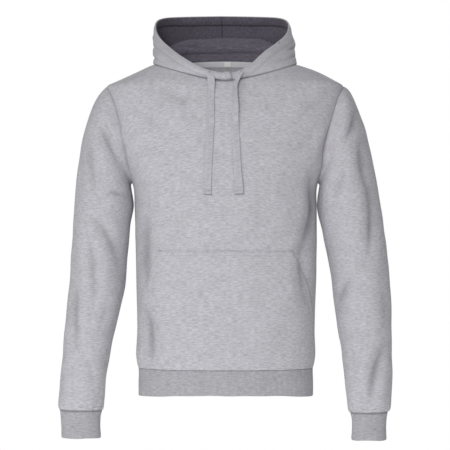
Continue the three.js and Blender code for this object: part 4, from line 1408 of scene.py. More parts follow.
@dataclass
class Hood:
    """The two outer halves, their lining, and the seam over the middle."""

    fleece: float = 2.0
    jersey: float = 1.2
    gap: float = 0.6
    rim: tuple[RimPoint, ...] = (
        RimPoint(0, 0, -88, -22, 0),
        RimPoint(0.08, 32, -85, -14.5, 0),
        RimPoint(0.16, 58, -74, -0.5, 1),
        RimPoint(0.25, 84, -49, 21, 4),
        RimPoint(0.36, 106, -18, 39.5, 3),
        RimPoint(0.5, 128, 18, 61, 2),
        RimPoint(0.6, 138, 44, 77, 1),
        RimPoint(0.7, 138.5, 76, 97, 0),
        RimPoint(0.8, 122, 106, 109, 0),
        RimPoint(0.9, 80, 130, 114, 0),
        RimPoint(1, 0, 141, 116.5, 0),
    )
    rim_offset: float = -6.5
    rim_calm: float = 12
    pouch: tuple[PouchPoint, ...] = (
        PouchPoint(0, 0, 0),
        PouchPoint(0.07, 8, 13),
        PouchPoint(0.13, 5, 30),
        PouchPoint(0.2, 19, 46),
        PouchPoint(0.28, 36, 26),
        PouchPoint(0.4, 46, -44),
        PouchPoint(0.5, 64, -102),
        PouchPoint(0.58, 86, -122),
        PouchPoint(0.67, 108, -98),
        PouchPoint(0.8, 112, -22),
        PouchPoint(0.92, 90, 62),
        PouchPoint(1, 66, 100.5),
    )
    start_out: float = 0.4
    end_out: float = 0.9
    start_up: float = 0.56
    roll_end_up: float = 0.86
    pouch_end_up: float = 0.97
    roll: tuple[float, float] = (0.22, 0.34)
    straight_back: float = 0.6
    spread: dict[Side, float] = field(default_factory=lambda: {Side.LEFT: 0.3, Side.RIGHT: 0.16})
    stand: tuple[float, float] = (4, 5)
    clearance: float = 2.5
    clear_height: float = 1 / 12
    front_share: float = 0.28
    clear_over: float = 0.2
    front_slack: float = 5
    plain_height: float = 0.02
    overlap: tuple[float, ...] = (0.038, 0.026, 0.014)
    parting_air: float = 0.6
    parted: tuple[float, float] = (0.14, 0.34)
    parted_at_seam: float = 0.3
    parted_height: float = 0.35
    rows: int = 104
    even_rows: tuple[float, float] = (0.012, 0.93)
    seam_rows: tuple[float, ...] = (0, 0.004, 0.01)
    tunnel_rows: tuple[float, float, int] = (0.935, 0.99, 15)
    rim_rows: tuple[float, ...] = (0.9935, 0.9965, 0.9985, 1)
    channel: float = 21
    channel_groove: float = 2.6
    channel_stands: tuple[float, float] = (0.9, 0.8)
    rim_stitches: float = 2.2
    # Painted shade: under the rim's stitches on shell and lining, and in the lining's folds.
    shell_shade: float = 3
    lining_shade: float = 14
    lining_air: float = 0.05
    lining_fold_shade: float = -1.6
    shell_share: float = 0.64
    neck_seam: Groove = Groove(1.2, 2.2, 9)
    middle_seam_width: float = 1.3
    lining_seam: Groove = Groove(0.8, 0.7, 8)
    opening: tuple[float, float] = (0.7, 0.8)
    levelled_up: float = 16
    levelled_share: tuple[float, float] = (0.3, 0.6)
    eyelets: dict[Side, tuple[float, float]] = field(
        default_factory=lambda: {Side.LEFT: (33, -17), Side.RIGHT: (-31, -18)}
    )
    eyelet_stitches: int = 22
    eyelet_ring: float = 2.8
    far_off: float = 1000
    prefer_front: float = 0.2
    rim_tack: tuple[float, float] = (111, 46)
    tack_half: float = 3.4
    beside_join: tuple[float, ...] = (3.2, 2.1, 1.0)
    fold_ends: tuple[float, float] = (0.05, 0.95)
    folds: tuple[HoodFold, ...] = (
        HoodFold(Side.LEFT, (0.42, 0.62), (0.66, 0.5), 0.05, 4),
        HoodFold(Side.LEFT, (0.3, 0.4), (0.56, 0.24), 0.06, 3.5),
        HoodFold(Side.RIGHT, (0.4, 0.3), (0.62, 0.2), 0.06, 3.5),
        HoodFold(Side.RIGHT, (0.5, 0.66), (0.7, 0.5), 0.05, 3),
        HoodFold(Side.LEFT, (0.78, 0.9), (1.0, 0.84), 0.04, 2.5),
        HoodFold(Side.RIGHT, (0.72, 0.88), (0.96, 0.8), 0.04, 2.5),
        HoodFold(Side.LEFT, (0.8, 0.72), (0.96, 0.6), 0.04, 3),
        HoodFold(Side.RIGHT, (0.84, 0.7), (0.98, 0.62), 0.04, 3),
        HoodFold(Side.RIGHT, (0.72, 0.18), (0.96, 0.11), 0.014, -3.6),
        HoodFold(Side.RIGHT, (0.72, 0.09), (1.06, 0.085), 0.012, -2.4),
        HoodFold(Side.LEFT, (0.76, 0.1), (1.06, 0.085), 0.012, -2.4),
        HoodFold(Side.LEFT, (0.76, 0.185), (0.9, 0.15), 0.014, -2.4),
        HoodFold(Side.RIGHT, (0.5, 0.75), (0.66, 0.9), 0.03, -3),
    )

    def __post_init__(self) -> None:
        """Starts with no halves made."""
        self.shells: dict[Side, Cloth] = {}

    def _heights(self) -> Array:
        """Shares of the hood's height for its rows, close together at the seam and the rim."""
        shares = [point.share for point in self.pouch]
        even = np.interp(np.linspace(0, len(shares) - 1, self.rows), np.arange(len(shares)), shares)
        even = even[(even > self.even_rows[0]) & (even < self.even_rows[1])]
        return np.r_[self.seam_rows, even, np.linspace(*self.tunnel_rows), self.rim_rows]

    def _point(self, seam: Array, share: Array, height: float, side: Side) -> Array:
        """The hood's outer face at shares of the neck seam and of the height.

        Args:
            seam: the neck seam's points on the left.
            share: the share of the seam at each.
            height: the share of the way to the rim.
            side: the half that is made.

        Returns:
            One point for each of the seam's.
        """
        past = np.abs(share)
        sign = np.where(share < 0, -1.0, 1.0)
        rim = {name: curve_of(self.rim, "share", name)(past) for name in ("x", "y", "z", "lean")}
        lean = side.value * np.sign(share) * rim["lean"]
        edge = np.stack([sign * rim["x"], rim["y"], rim["z"] + lean], axis=-1)
        outward = unit(seam * np.array([1.0, 1.0, 0.0]))
        stand = mix(self.stand[0], self.stand[1], np.sin(HALF_TURN * past))
        points = mix(seam, edge, height) + outward * (stand * 4 * height * (1 - height))[:, None]
        full_out = eased((past - self.start_out) / (self.end_out - self.start_out))
        below_roll = float(stepped(height, self.roll))
        end_up = mix(self.roll_end_up, self.pouch_end_up, below_roll)
        full_up = eased((past - self.start_up) / (end_up - self.start_up))
        end = self.pouch[-1]
        reach = curve_of(self.pouch, "share", "out")(height) - end.out * height
        rise = curve_of(self.pouch, "share", "up")(height) - end.up * height
        sideways = self.spread[side] * outward[:, 0]
        backward = np.stack([sideways, np.abs(outward[:, 1]) + self.straight_back, 0 * past], axis=-1)
        points = points + unit(backward) * (full_out * reach)[:, None]
        points[:, 2] += full_up * rise
        points[:, 0] = side.value * points[:, 0] + self.rim_offset * height
        if height <= self.plain_height:
            return points
        beyond = past - self.front_share
        clear = self.clearance * eased(height / self.clear_height) * eased(beyond / self.clear_over)
        return TRUNK.clear_of(points, clear - self.front_slack * (beyond < 0))

    def _half(self, panels: Panels, side: Side) -> Cloth:
        """One half of the hood, whose front edge crosses the centre, where the layers part."""
        neck = panels.neck_line(side) * np.array([side.value, 1.0, 1.0])
        along = lengths_along(neck, 0)
        shares = along / along[-1]
        overlap = np.array(self.overlap)
        extra = read_along(shares, neck * np.array([-1.0, 1.0, 1.0]), overlap)
        beside = along[-1] - np.array(self.beside_join)
        seam = np.concatenate([extra, neck[:-1], walked(neck, beside), neck[-1:]])
        places = np.concatenate([-overlap, shares[:-1], beside / along[-1], [1.0]])
        heights = self._heights()
        points = np.stack([self._point(seam, places, height, side) for height in heights])
        facing = self._facing(points, places, side)
        on_trunk = TRUNK.normals(seam * np.array([side.value, 1.0, 1.0]))
        facing[0] = self._levelled(unit(facing[0] + on_trunk), places, np.zeros(len(places)))
        seam_facing = facing[0]
        own = len(neck) - 1 + np.arange(len(beside))
        panels.share_neck(side, np.delete(seam_facing[len(overlap) :], own, axis=0))
        layers = self.fleece + self.jersey + 2 * self.gap + self.parting_air
        parted = -side.value * layers / 2 * (1 - stepped(places, self.parted))
        above_seam = mix(self.parted_at_seam, 1.0, eased(heights / self.parted_height))
        points = points + facing * (above_seam[:, None] * parted[None])[..., None]
        depth = self._fold_depth(side, places, heights)
        points = points - facing * depth[..., None]
        facing = self._facing(points, places, side)
        facing[0] = seam_facing
        facing[:, -1, 0] = 0
        facing[:, -1] = unit(facing[:, -1])
        cloth = Cloth(points, facing, False, depth, flat=self._flat_map(points))
        calm = np.minimum(cloth.from_edge(Edge.LOW), cloth.from_edge(Edge.RIGHT))
        return cloth.raised(RIPPLES.at(points, calm) * eased(cloth.from_edge(Edge.HIGH) / self.rim_calm))

    def _facing(self, points: Array, places: Array, side: Side) -> Array:
        """The way each point of one half faces."""
        facing = grid_normals(points, False, side is Side.RIGHT)
        return self._levelled(facing, places, lengths_along(points, 0))

    def _levelled(self, facing: Array, places: Array, up: Array) -> Array:
        """The way cloth faces, turned level just above the seam at the front, where the hood is low."""
        near = (1 - eased(up / self.levelled_up)) * (1 - stepped(np.abs(places), self.levelled_share))
        return unit(facing * np.stack([np.ones_like(near), np.ones_like(near), 1 - near], axis=-1))

    def _fold_depth(self, side: Side, places: Array, heights: Array) -> Array:
        """How deep the hood's own folds are at each point."""
        total = np.zeros((len(heights), len(places)))
        for fold in self.folds:
            if fold.side is not side:
                continue
            across = places[None] - fold.start[0]
            up = heights[:, None] - fold.start[1]
            dx, dy = fold.end[0] - fold.start[0], fold.end[1] - fold.start[1]
            t = np.clip((across * dx + up * dy) / (dx * dx + dy * dy), 0, 1)
            away = np.hypot(across - t * dx, up - t * dy)
            total += fold.depth * np.sin(HALF_TURN * mix(*self.fold_ends, t)) * swell(away, fold.width)
        return total

    def _channel(self, cloth: Cloth) -> Array:
        """How full the drawcord's tunnel along the rim is, from -1 at its stitches to 1."""
        down = cloth.from_edge(Edge.HIGH)
        full = np.sin(HALF_TURN * np.clip(down / self.channel, 0, 1)) * (down < self.channel)
        return full - swell(down - self.channel, self.channel_groove)

    def build(self, panels: Panels, looks: "Looks") -> None:
        """Makes both halves of the hood and of its lining."""
        for side in Side:
            self._build_half(side, self._half(panels, side), looks)
        for side in self.eyelets:
            self._sew_eyelet(side, looks)
        self._sew_rim_tack(looks)

    def _build_half(self, side: Side, half: Cloth, looks: "Looks") -> None:
        """Makes one outer half and its lining from the half's outer face."""
        word = side.word
        channel = self._channel(half)
        to_middle = half.from_edge(Edge.RIGHT)
        neck = swell(half.from_edge(Edge.LOW), self.neck_seam.width)
        seam = np.maximum(neck, swell(to_middle, self.middle_seam_width))
        inside = stepped(self._heights(), self.opening)[:, None]
        join = swell(to_middle, self.lining_seam.width) * inside
        stitched = swell(half.from_edge(Edge.HIGH) - self.channel, self.rim_stitches)
        stands, sinks = self.channel_stands
        outer = stands * channel - self.neck_seam.depth * seam
        inner = self.lining_seam.depth * join - (self.fleece + self.gap + self.jersey) - sinks * channel
        between = mix(outer, inner, self.shell_share)
        shell = half.raised(outer)
        # Painted shade in the shell's folds, along its neck and middle seams, and under the rim's stitches.
        shell.trough = half.trough + self.neck_seam.shade * seam + self.shell_shade * stitched
        obj = shell.wall(f"{word}_hood", outer - between)
        dress(obj, looks.fleece, f"hood_shell_{word}")
        lay_out(obj, half)
        rim_line = shell.line_at(Edge.HIGH, self.channel)
        sew(THREAD, f"{word}_hood_stitching", [rim_line], looks, f"hood_shell_{word}")
        self.shells[side] = shell
        lining = half.raised(between - self.lining_air)
        # Painted shade on the lining: in its own folds, along its seam and under the rim's stitches.
        sewn = self.lining_seam.shade * join + self.lining_shade * stitched
        lining.trough = self.lining_fold_shade * half.trough + sewn
        obj = lining.wall(f"{word}_hood_lining", between - inner)
        dress(obj, looks.lining, f"hood_lining_{word}")
        lay_out(obj, lining)

    def _flat_map(self, points: Array) -> Array:
        """One half laid flat: its neck edge along the bottom, and its rim standing at the front."""
        up = lengths_along(points, 0)
        share = up / up[-1:]
        across = lengths_along(points, 1)
        reach = mix(across[:1], across[-1:], share)
        turn = QUARTER_TURN * share
        return np.stack([reach * np.cos(turn), reach * np.sin(turn)], axis=-1) * MM

    def _spot(self, side: Side, x: float, z: float) -> tuple[Array, Array, Array]:
        """A place seen from the front on an outer half, the way its rim runs, and its facing."""
        shell = self.shells[side]
        away = np.hypot(shell.points[..., 0] - x, shell.points[..., 2] - z)
        turned_away = shell.normals[..., 1] > 0
        score = away + self.far_off * turned_away + self.prefer_front * shell.points[..., 1]
        row, column = np.unravel_index(np.argmin(score), score.shape)
        column = min(max(column, 1), score.shape[1] - 2)
        along = unit(shell.points[row, column + 1] - shell.points[row, column - 1])
        return np.array([x, shell.points[row, column, 1], z]), along, shell.normals[row, column]

    def _sew_eyelet(self, side: Side, looks: "Looks") -> None:
        """Makes the ring of stitches, and the dark hole that a cord leaves by: a dome of lining, which shows
        through, with painted shade on it.
        """
        place, along, facing = self._spot(side, *self.eyelets[side])
        turn = np.linspace(0, 2 * HALF_TURN, self.eyelet_stitches, endpoint=False)[:, None]
        outward = along * np.cos(turn) + np.cross(facing, along) * np.sin(turn)
        faces = np.broadcast_to(facing, outward.shape)
        spots = np.stack([place + outward * self.eyelet_ring, outward, faces], axis=1)
        name, node = f"{side.word}_eyelet", f"hood_shell_{side.word}"
        dress(EYELET_THREAD.mesh(name, spots), looks.thread, node)
        spot = np.stack([place, facing, along])[None]
        dress(EYELET_HOLE.mesh(f"{name}_hole", spot), looks.lining, node)

    def _sew_rim_tack(self, looks: "Looks") -> None:
        """Makes the dark bar tack on the left of the rim."""
        place, along, facing = self._spot(Side.LEFT, *self.rim_tack)
        across = np.cross(facing, along) * self.tack_half
        obj = TACK_THREAD.mesh("rim_tack", tack(place - across, place + across, facing))
        dress(obj, looks.lining, "hood_shell_left")


# What is sewn on


@dataclass
class Pocket:
    """The kangaroo pocket: one piece on the front's own points, moved out."""

    fleece: float = 2.0
    lift: float = 0.3
    gape: float = 2.2
    gape_reach: float = 42
    turned_edge: float = 1.3
    edge_drop: float = 0.7
    edge_thins: float = 0.75
    tack_columns: int = 9
    stitch_lines: tuple[float, float] = (2.6, 9.0)

    def build(self, panels: Panels, looks: "Looks") -> None:
        """Makes the pocket."""
        front = panels.cloth[Face.FRONT]
        last = front.points.shape[1] - panels.pocket_column
        cloth = front.part(slice(0, panels.pocket_row + 1), slice(panels.pocket_column, last))
        heights = panels.heights[: panels.pocket_row + 1]
        opening = (heights - panels.pocket_opening) / (panels.pocket_top - panels.pocket_opening)
        gapes = np.sin(HALF_TURN * np.clip(opening, 0, 1))[:, None]
        side = np.minimum(cloth.from_edge(Edge.LEFT), cloth.from_edge(Edge.RIGHT))
        gape = self.gape * gapes * (1 - eased(side / self.gape_reach))
        cloth = cloth.raised(self.fleece + self.lift + gape)
        edges = (Edge.LEFT, Edge.RIGHT, Edge.HIGH)
        lines = [(edge, away) for edge in edges for away in self.stitch_lines]
        sewn = cloth.pinched(lines)
        rounded = np.minimum(sum(swell(cloth.from_edge(edge), self.turned_edge) for edge in edges), 1.0)
        sewn = sewn.raised(-self.edge_drop * rounded)
        obj = sewn.wall("pocket", self.fleece - self.edge_thins * rounded)
        dress(obj, looks.fleece, "kangaroo_pocket")
        lay_out(obj, cloth)
        sew(THREAD, "pocket_stitching", [sewn.line_at(*line) for line in lines], looks, "kangaroo_pocket")
        foot = int(np.argmin(np.abs(heights - panels.pocket_opening)))
        tacks = [
            tack(sewn.points[row, outer], sewn.points[row, inner], sewn.normals[row, inner])
            for outer, inner in ((0, self.tack_columns), (-1, -1 - self.tack_columns))
            for row in (foot, -1)
        ]
        obj = TACK_THREAD.mesh("pocket_tacks", np.concatenate(tacks))
        dress(obj, looks.thread, "kangaroo_pocket")


@dataclass
class NeckTrim:
    """The tape over the neck seam inside the back, and the bare size label on it."""

    fleece: float = 2.0
    layer_gap: float = 0.3
    tape: float = 1.0
    tape_down: tuple[float, float] = (1, 14)
    tape_share: float = 4 / 7
    tape_ends: float = 0.5
    tape_grid: tuple[int, int] = (10, 90)
    tape_stitches: float = 1.3
    label: float = 0.8
    label_across: tuple[float, float] = (-2, 11)
    label_down: tuple[float, float] = (2.0, 12.6)
    label_grid: tuple[int, int] = (18, 22)

    def _inside(self, panels: Panels, sunk: float, downs: Array, xs: Array) -> Cloth:
        """Cloth that lies inside the back, by its distances below the neck seam and its places across."""
        back = panels.cloth[Face.BACK].raised(-sunk)
        below_neck = back.points[::-1]
        columns = range(self._reach(panels, -1), self._reach(panels, 1) + 1)
        lines = np.stack([walked(below_neck[:, i], downs) for i in columns], axis=1)
        across = Curve(lines[0, :, 0], lines.swapaxes(0, 1))(xs)
        points = across.swapaxes(0, 1)[::-1]
        return Cloth(points, grid_normals(points, False, True))

    def _reach(self, panels: Panels, way: int) -> int:
        """The panel's column where the tape ends, to the right (-1) or the left (1)."""
        return int(panels.centre + way * (panels.centre - panels.neck_column) * self.tape_share)

    def build(self, panels: Panels, looks: "Looks") -> None:
        """Makes the tape and the label."""
        ends = [panels.cloth[Face.BACK].points[-1, self._reach(panels, way), 0] for way in (-1, 1)]
        rows, columns = self.tape_grid
        downs = np.linspace(*self.tape_down, rows)
        xs = np.linspace(ends[0] + self.tape_ends, ends[1] - self.tape_ends, columns)
        tape = self._inside(panels, self.fleece + 2 * self.layer_gap, downs, xs)
        obj = tape.wall("neck_tape_strip", self.tape)
        dress(obj, looks.tape, "neck_tape")
        lay_out(obj, tape)
        lines = [tape.line_at(edge, self.tape_stitches) for edge in (Edge.LOW, Edge.HIGH)]
        sew(THREAD, "tape_stitching", lines, looks, "neck_tape")
        rows, columns = self.label_grid
        downs = np.linspace(*self.label_down, rows)
        xs = np.linspace(*self.label_across, columns)
        label = self._inside(panels, self.fleece + 3 * self.layer_gap + self.tape, downs, xs)
        obj = label.wall("bare_label", self.label)
        dress(obj, looks.label, "size_label")
        lay_out(obj, label)


@dataclass(frozen=True)
class Stop:
    """A place on a drawcord's route: across, height, width, and turn about its own length."""

    x: float
    z: float
    width: float
    turn: float


@dataclass
class Drawcord:
    """One free end of the flat drawcord, from its eyelet down the front."""

    side: Side
    stops: tuple[Stop, ...]
    thick: float = 2.4
    clear: float = 0.8
    usual_width: float = 15
    turned_end: float = 8
    turned_thicker: float = 0.5
    turned_groove: Groove = Groove(0.8, 1, 5)
    # Painted shade at the cord's cut end and on its end caps.
    cut_end: float = 2.4
    cut_shade: float = 9
    closed_shade: float = 12
    hood_stands: float = 6.5
    off_the_hood: tuple[float, float] = (4, 30)
    squareness: float = 3.2
    crown: float = 0.12
    steps: int = 120
    end_steps: tuple[float, int] = (12, 25)
    sides: int = 28
    path_steps: int = 30

    def _surface(self, stop: Stop) -> tuple[float, float, float]:
        """Where the cord's outer face lies at a stop."""
        across = min(abs(stop.x) / float(TRUNK.half_width(stop.z)), 1)
        bend = (1 - across**TRUNK.squareness) ** (1 / TRUNK.squareness)
        seam = float(NECK.height(np.array(stop.x), Face.FRONT))
        at_seam = float(TRUNK.depth(seam, Face.FRONT)) * bend
        here = float(TRUNK.depth(stop.z, Face.FRONT)) * bend
        start, over = self.off_the_hood
        below = float(eased((seam + start - stop.z) / over))
        surface = mix(at_seam + self.hood_stands, max(here, at_seam), below)
        standing = stop.width / 2 * math.sin(stop.turn)
        return stop.x, -(surface + self.clear + self.thick + standing), stop.z

    def build(self, looks: "Looks") -> None:
        places = np.array([self._surface(stop) for stop in self.stops])
        along = lengths_along(places, 0)
        near_end, end_count = self.end_steps
        even = np.linspace(0, along[-1], self.steps)
        fine = np.unique(np.r_[even, along[-1] - np.linspace(0, near_end, end_count)])
        points = Curve(along, places)(fine)
        ahead = unit(np.gradient(points, axis=0))
        widths = Curve(along, [stop.width for stop in self.stops])(fine)
        turns = Curve(along, [stop.turn for stop in self.stops])(fine)
        level = np.broadcast_to(np.array([1.0, 0.0, 0.0]), ahead.shape)
        flat = unit(np.cross(ahead, level))
        cos, sin = np.cos(turns)[:, None], np.sin(turns)[:, None]
        lie = unit(level * cos + np.cross(ahead, level) * sin)
        facing = unit(flat * cos + np.cross(ahead, flat) * sin)
        middle = points - facing * self.thick / 2
        around = np.linspace(0, 2 * HALF_TURN, self.sides, endpoint=False)
        wide, deep = squared(around, self.squareness)
        deep = deep * (1 + self.crown * np.cos(2 * around))
        to_end = along[-1] - fine
        thicker = 1 + self.turned_thicker * eased((self.turned_end - to_end) / 2)
        groove = swell(to_end - self.turned_end, self.turned_groove.width)
        full = self.thick * thicker - self.turned_groove.depth * groove
        across = wide[None, :, None] * (widths / 2)[:, None, None] * lie[:, None]
        through = deep[None, :, None] * (full / 2)[:, None, None] * facing[:, None]
        tube = middle[:, None] + across + through
        rings = np.concatenate([self._end(tube[0], middle[0]), tube, self._end(tube[-1], middle[-1])[::-1]])
        # Painted shade: dark at the cut end and on the end caps, and along the stitched line of the turned
        # end.
        stitched = swell(to_end - self.turned_end, 0.9 * self.turned_groove.width)
        cut = eased((self.cut_end - to_end) / (self.cut_end / 2))
        shade = self.cut_shade * cut + self.turned_groove.shade * stitched
        shade = np.r_[0, 0, shade, self.closed_shade, self.closed_shade]
        obj = capped_tube(f"{self.side.word}_drawcord", rings, np.repeat(shade, self.sides))
        dress(obj, looks.cord, f"drawcord_{self.side.word}")
        self._declare(obj, np.concatenate([middle[:: len(fine) // self.path_steps], middle[-1:]]) * MM)

    def _declare(self, obj: bpy.types.Object, path: Array) -> None:
        length = float(lengths_along(path, 0)[-1])
        LOG.info("%s is %.3f m long", obj.name, length)

    def _end(self, ring: Array, middle: Array) -> Array:
        """Two smaller rings that close the cord's end."""
        return np.stack([mix(middle, ring, 0.3), mix(middle, ring, 0.8)])


LEFT_STOPS = (
    Stop(32.5, -19, 9, 0),
    Stop(24.5, -32, 11, 0.5),
    Stop(20, -45, 13, 0.9),
    Stop(19.2, -62, 14, 0.95),
    Stop(20, -80, 14, 0.75),
    Stop(19.7, -97, 14.5, 0.35),
    Stop(19.9, -119, 14, 0.1),
    Stop(21.4, -152, 15, 0),
    Stop(22.9, -185, 15.5, 0),
    Stop(24.8, -218, 15.5, 0),
    Stop(26.5, -242, 17, 0),
    Stop(27.5, -265, 18.3, 0),
)
RIGHT_STOPS = (
    Stop(-31, -20, 11, 0),
    Stop(-28.6, -33, 15, 0.15),
    Stop(-28.6, -62, 14.6, 0),
    Stop(-28.9, -90, 15, 0),
    Stop(-29, -119, 15.8, 0),
    Stop(-31.1, -153, 15, 0),
    Stop(-32.4, -185, 15.2, 0),
    Stop(-34.2, -218, 15.4, 0),
    Stop(-35.1, -252, 15.4, 0),
    Stop(-35, -266, 16, 0),
)


def capped_tube(name: str, rings: Array, troughs: Array) -> bpy.types.Object:
    """A closed tube through rings of points, with the depth of the shade at each point."""
    rows, columns = rings.shape[:2]
    quads = tube_quads(np.arange(rows * columns).reshape(rows, columns))
    flat = Cloth(rings, rings, True).cloth_map()[:, :columns].reshape(-1, 2)
    return make_mesh(name, rings.reshape(-1, 3), quads, flat[quads], troughs)


# Materials


@dataclass(frozen=True)
class Socket:
    """A node's output, on which sums can be written as they are in Python."""

    tree: bpy.types.NodeTree
    output: bpy.types.NodeSocket

    def _sum(self, operation: str, first: object, second: object) -> "Socket":
        """Adds a Math node."""
        return Shader(self.tree).node("ShaderNodeMath", {"operation": operation}, first, second)

    def __add__(self, other: object) -> "Socket":
        """Self plus other."""
        return self._sum("ADD", self, other)

    __radd__ = __add__

    def __rsub__(self, other: object) -> "Socket":
        """Other minus self."""
        return self._sum("SUBTRACT", other, self)

    def __mul__(self, other: object) -> "Socket":
        """Self times other."""
        return self._sum("MULTIPLY", self, other)

    __rmul__ = __mul__


@dataclass(frozen=True)
class Shader:
    """Adds nodes to a material's tree."""

    tree: bpy.types.NodeTree

    def add(self, kind: str, settings: dict[str, object], values: dict[int | str, object]) -> bpy.types.Node:
        """Adds a node.

        Args:
            kind: the node's type.
            settings: properties that are set first.
            values: the values or links of its sockets, by name or number.

        Returns:
            The node.
        """
        node = self.tree.nodes.new(kind)
        for name, value in settings.items():
            setattr(node, name, value)
        for key, value in values.items():
            if isinstance(value, Socket):
                self.tree.links.new(value.output, node.inputs[key])
            else:
                node.inputs[key].default_value = value
        return node

    def node(
        self,
        kind: str,
        settings: dict[str, object],
        *values: object,
        out: int | str = 0,
        named: dict[str, object] | None = None,
    ) -> Socket:
        """Adds a node, and gives one of its outputs.

        Args:
            kind: the node's type.
            settings: properties that are set first.
            values: the values or links of its sockets, in order.
            out: which output is given.
            named: the values or links of further sockets, by name.

        Returns:
            The output.
        """
        node = self.add(kind, settings, {**dict(enumerate(values)), **(named or {})})
        return Socket(self.tree, node.outputs[out])

    def vector(self, operation: str, first: object, second: object) -> Socket:
        """Adds a Vector Math node."""
        return self.node("ShaderNodeVectorMath", {"operation": operation}, first, second)

    def cloth_place(self, across: float, up: float) -> Socket:
        """The place in the flat cloth, stretched by a number across and a number up."""
        place = self.node("ShaderNodeUVMap", {"uv_map": CLOTH_MAP})
        return self.vector("MULTIPLY", place, (across, up, 1.0))

    def noise(self, place: Socket, detail: float = 2.0, rough: float = 0.5) -> Socket:
        """Noise at a place, from 0 to 1."""
        named = {"Vector": place, "Scale": 1.0, "Detail": detail, "Roughness": rough}
        return self.node("ShaderNodeTexNoise", {}, out="Fac", named=named)

    def between(self, value: Socket, low: float, high: float) -> Socket:
        """Value as it goes from low to high, as 0 to 1."""
        named = {"Value": value, "From Min": low, "From Max": high}
        smooth = {"interpolation_type": "SMOOTHSTEP"}
        return self.node("ShaderNodeMapRange", smooth, out="Result", named=named)

    def deep(self) -> Socket:
        """How deep the folds and seams are, as 0 to 1, for painted shade."""
        trough = self.node("ShaderNodeAttribute", {"attribute_name": TROUGH}, out="Fac")
        return self.between(trough, *SHADED_DEPTHS)

    def blend(self, factor: Socket | float, first: object, second: object, how: str = "MIX") -> Socket:
        """Goes from the first colour to the second."""
        settings = {"data_type": "RGBA", "blend_type": how}
        node = self.add("ShaderNodeMix", settings, {0: factor, 6: first, 7: second})
        return Socket(self.tree, node.outputs[2])

    def bands(self, along: str, scale: float, uneven: float) -> Socket:
        """Bands across the flat cloth: along X or Y, their scale, and how uneven they are."""
        named = {"Vector": self.cloth_place(scale, scale), "Scale": 1.0, "Distortion": uneven, "Detail": 1.0}
        return self.node("ShaderNodeTexWave", {"bands_direction": along}, out="Fac", named=named)

    def relief(self, strength: float, distance: float, height: Socket) -> Socket:
        """Adds a Bump node."""
        named = {"Strength": strength, "Distance": distance, "Height": height}
        return self.node("ShaderNodeBump", {}, out="Normal", named=named)

    def show(self, finish: dict[str, object]) -> None:
        """Gives the material its surface."""
        surface = self.node("ShaderNodeBsdfPrincipled", {}, out="BSDF", named=finish)
        self.add("ShaderNodeOutputMaterial", {}, {"Surface": surface})


def colour(red: float, green: float, blue: float) -> tuple[float, float, float, float]:
    """A colour for a socket."""
    return red, green, blue, 1.0


def darker(tone: tuple[float, float, float], share: float) -> tuple[float, float, float, float]:
    """A share of a tone, as a colour for a socket."""
    return colour(*(x * share for x in tone))


def new_material(name: str) -> bpy.types.Material:
    """An empty material."""
    material = bpy.data.materials.new(name)
    material.use_nodes = True
    material.node_tree.nodes.clear()
    return material


@dataclass(frozen=True)
class Marl:
    """A knit of mixed light and dark fibres, with streaks that run along its courses, and painted shade in
    its folds and seams.
    """

    name: str
    light: tuple[float, float, float]
    dark: tuple[float, float, float]
    contrast: float = 1.0
    shade: float = 0.62
    rib_pitch: float = 0.0
    rib_valley_shade: float = 0.6
    bump: float = 0.25
    bump_depth: float = 0.0009
    sheen: float = 0.15
    cloud: float = 0.93
    cloud_size: tuple[float, float] = (24, 46)
    drift_size: tuple[float, float] = (38, 38)
    drift: float = 2.6
    long_flecks: tuple[float, float] = (88, 420)
    short_flecks: tuple[float, float] = (220, 880)
    long_share: float = 0.66
    softness: float = 0.14
    fold_shade_tone: float = 0.3
    knit_columns: float = 270
    knit_grain: tuple[float, float] = (900, 1300)

    def make(self) -> bpy.types.Material:
        """Makes the material."""
        material = new_material(self.name)
        shader = Shader(material.node_tree)
        streaks = self._streaks(shader)
        base = shader.blend(streaks, colour(*self.dark), colour(*self.light))
        cloudy = shader.between(shader.noise(shader.cloth_place(*self.cloud_size)), 0.3, 0.7)
        white = (1.0, 1.0, 1.0)
        clouds = shader.blend(cloudy, darker(white, self.cloud), colour(*white))
        base = shader.blend(1.0, base, clouds, "MULTIPLY")
        # Painted shade: darker in folds and seams, by how deep they are.
        base = shader.blend(shader.deep() * self.shade, base, darker(self.dark, self.fold_shade_tone))
        relief = self._knit(shader) + streaks * 0.3
        if self.rib_pitch:
            ribs = self._ribs(shader)
            # Painted shade: darker between the ribs, in their valleys.
            base = shader.blend((1.0 - ribs) * 0.2, base, darker(self.dark, self.rib_valley_shade))
            relief = relief * 0.5 + ribs * 1.6
        finish = {
            "Base Color": base,
            "Roughness": 0.95,
            "Normal": shader.relief(self.bump, self.bump_depth, relief),
            "Sheen Weight": self.sheen,
            "Sheen Roughness": 0.45,
            "Specular IOR Level": 0.2,
        }
        shader.show(finish)
        return material

    def _streaks(self, shader: Shader) -> Socket:
        """Light and dark flecks, long across the cloth and thin up it."""
        drift = shader.noise(shader.cloth_place(*self.drift_size), 1.0)
        bend = shader.vector("MULTIPLY", drift, (0.0, self.drift, 0.0))
        long = shader.vector("ADD", shader.cloth_place(*self.long_flecks), bend)
        short = shader.vector("ADD", shader.cloth_place(*self.short_flecks), bend)
        mixed = shader.noise(long, 3.0, 0.62) * self.long_share
        mixed = mixed + shader.noise(short, 2.0, 0.6) * (1 - self.long_share)
        half = self.softness / self.contrast
        return shader.between(mixed, 0.5 - half, 0.5 + half)

    def _knit(self, shader: Shader) -> Socket:
        """The fine columns and grain of the knit."""
        grain = shader.noise(shader.cloth_place(*self.knit_grain), 1.0)
        return shader.bands("X", self.knit_columns, 0.5) * 0.4 + grain * 0.8

    def _ribs(self, shader: Shader) -> Socket:
        """The ribs, as a wave across the cloth."""
        return shader.bands("X", math.tau / BAND_TURNS / (self.rib_pitch * MM), 0.0)


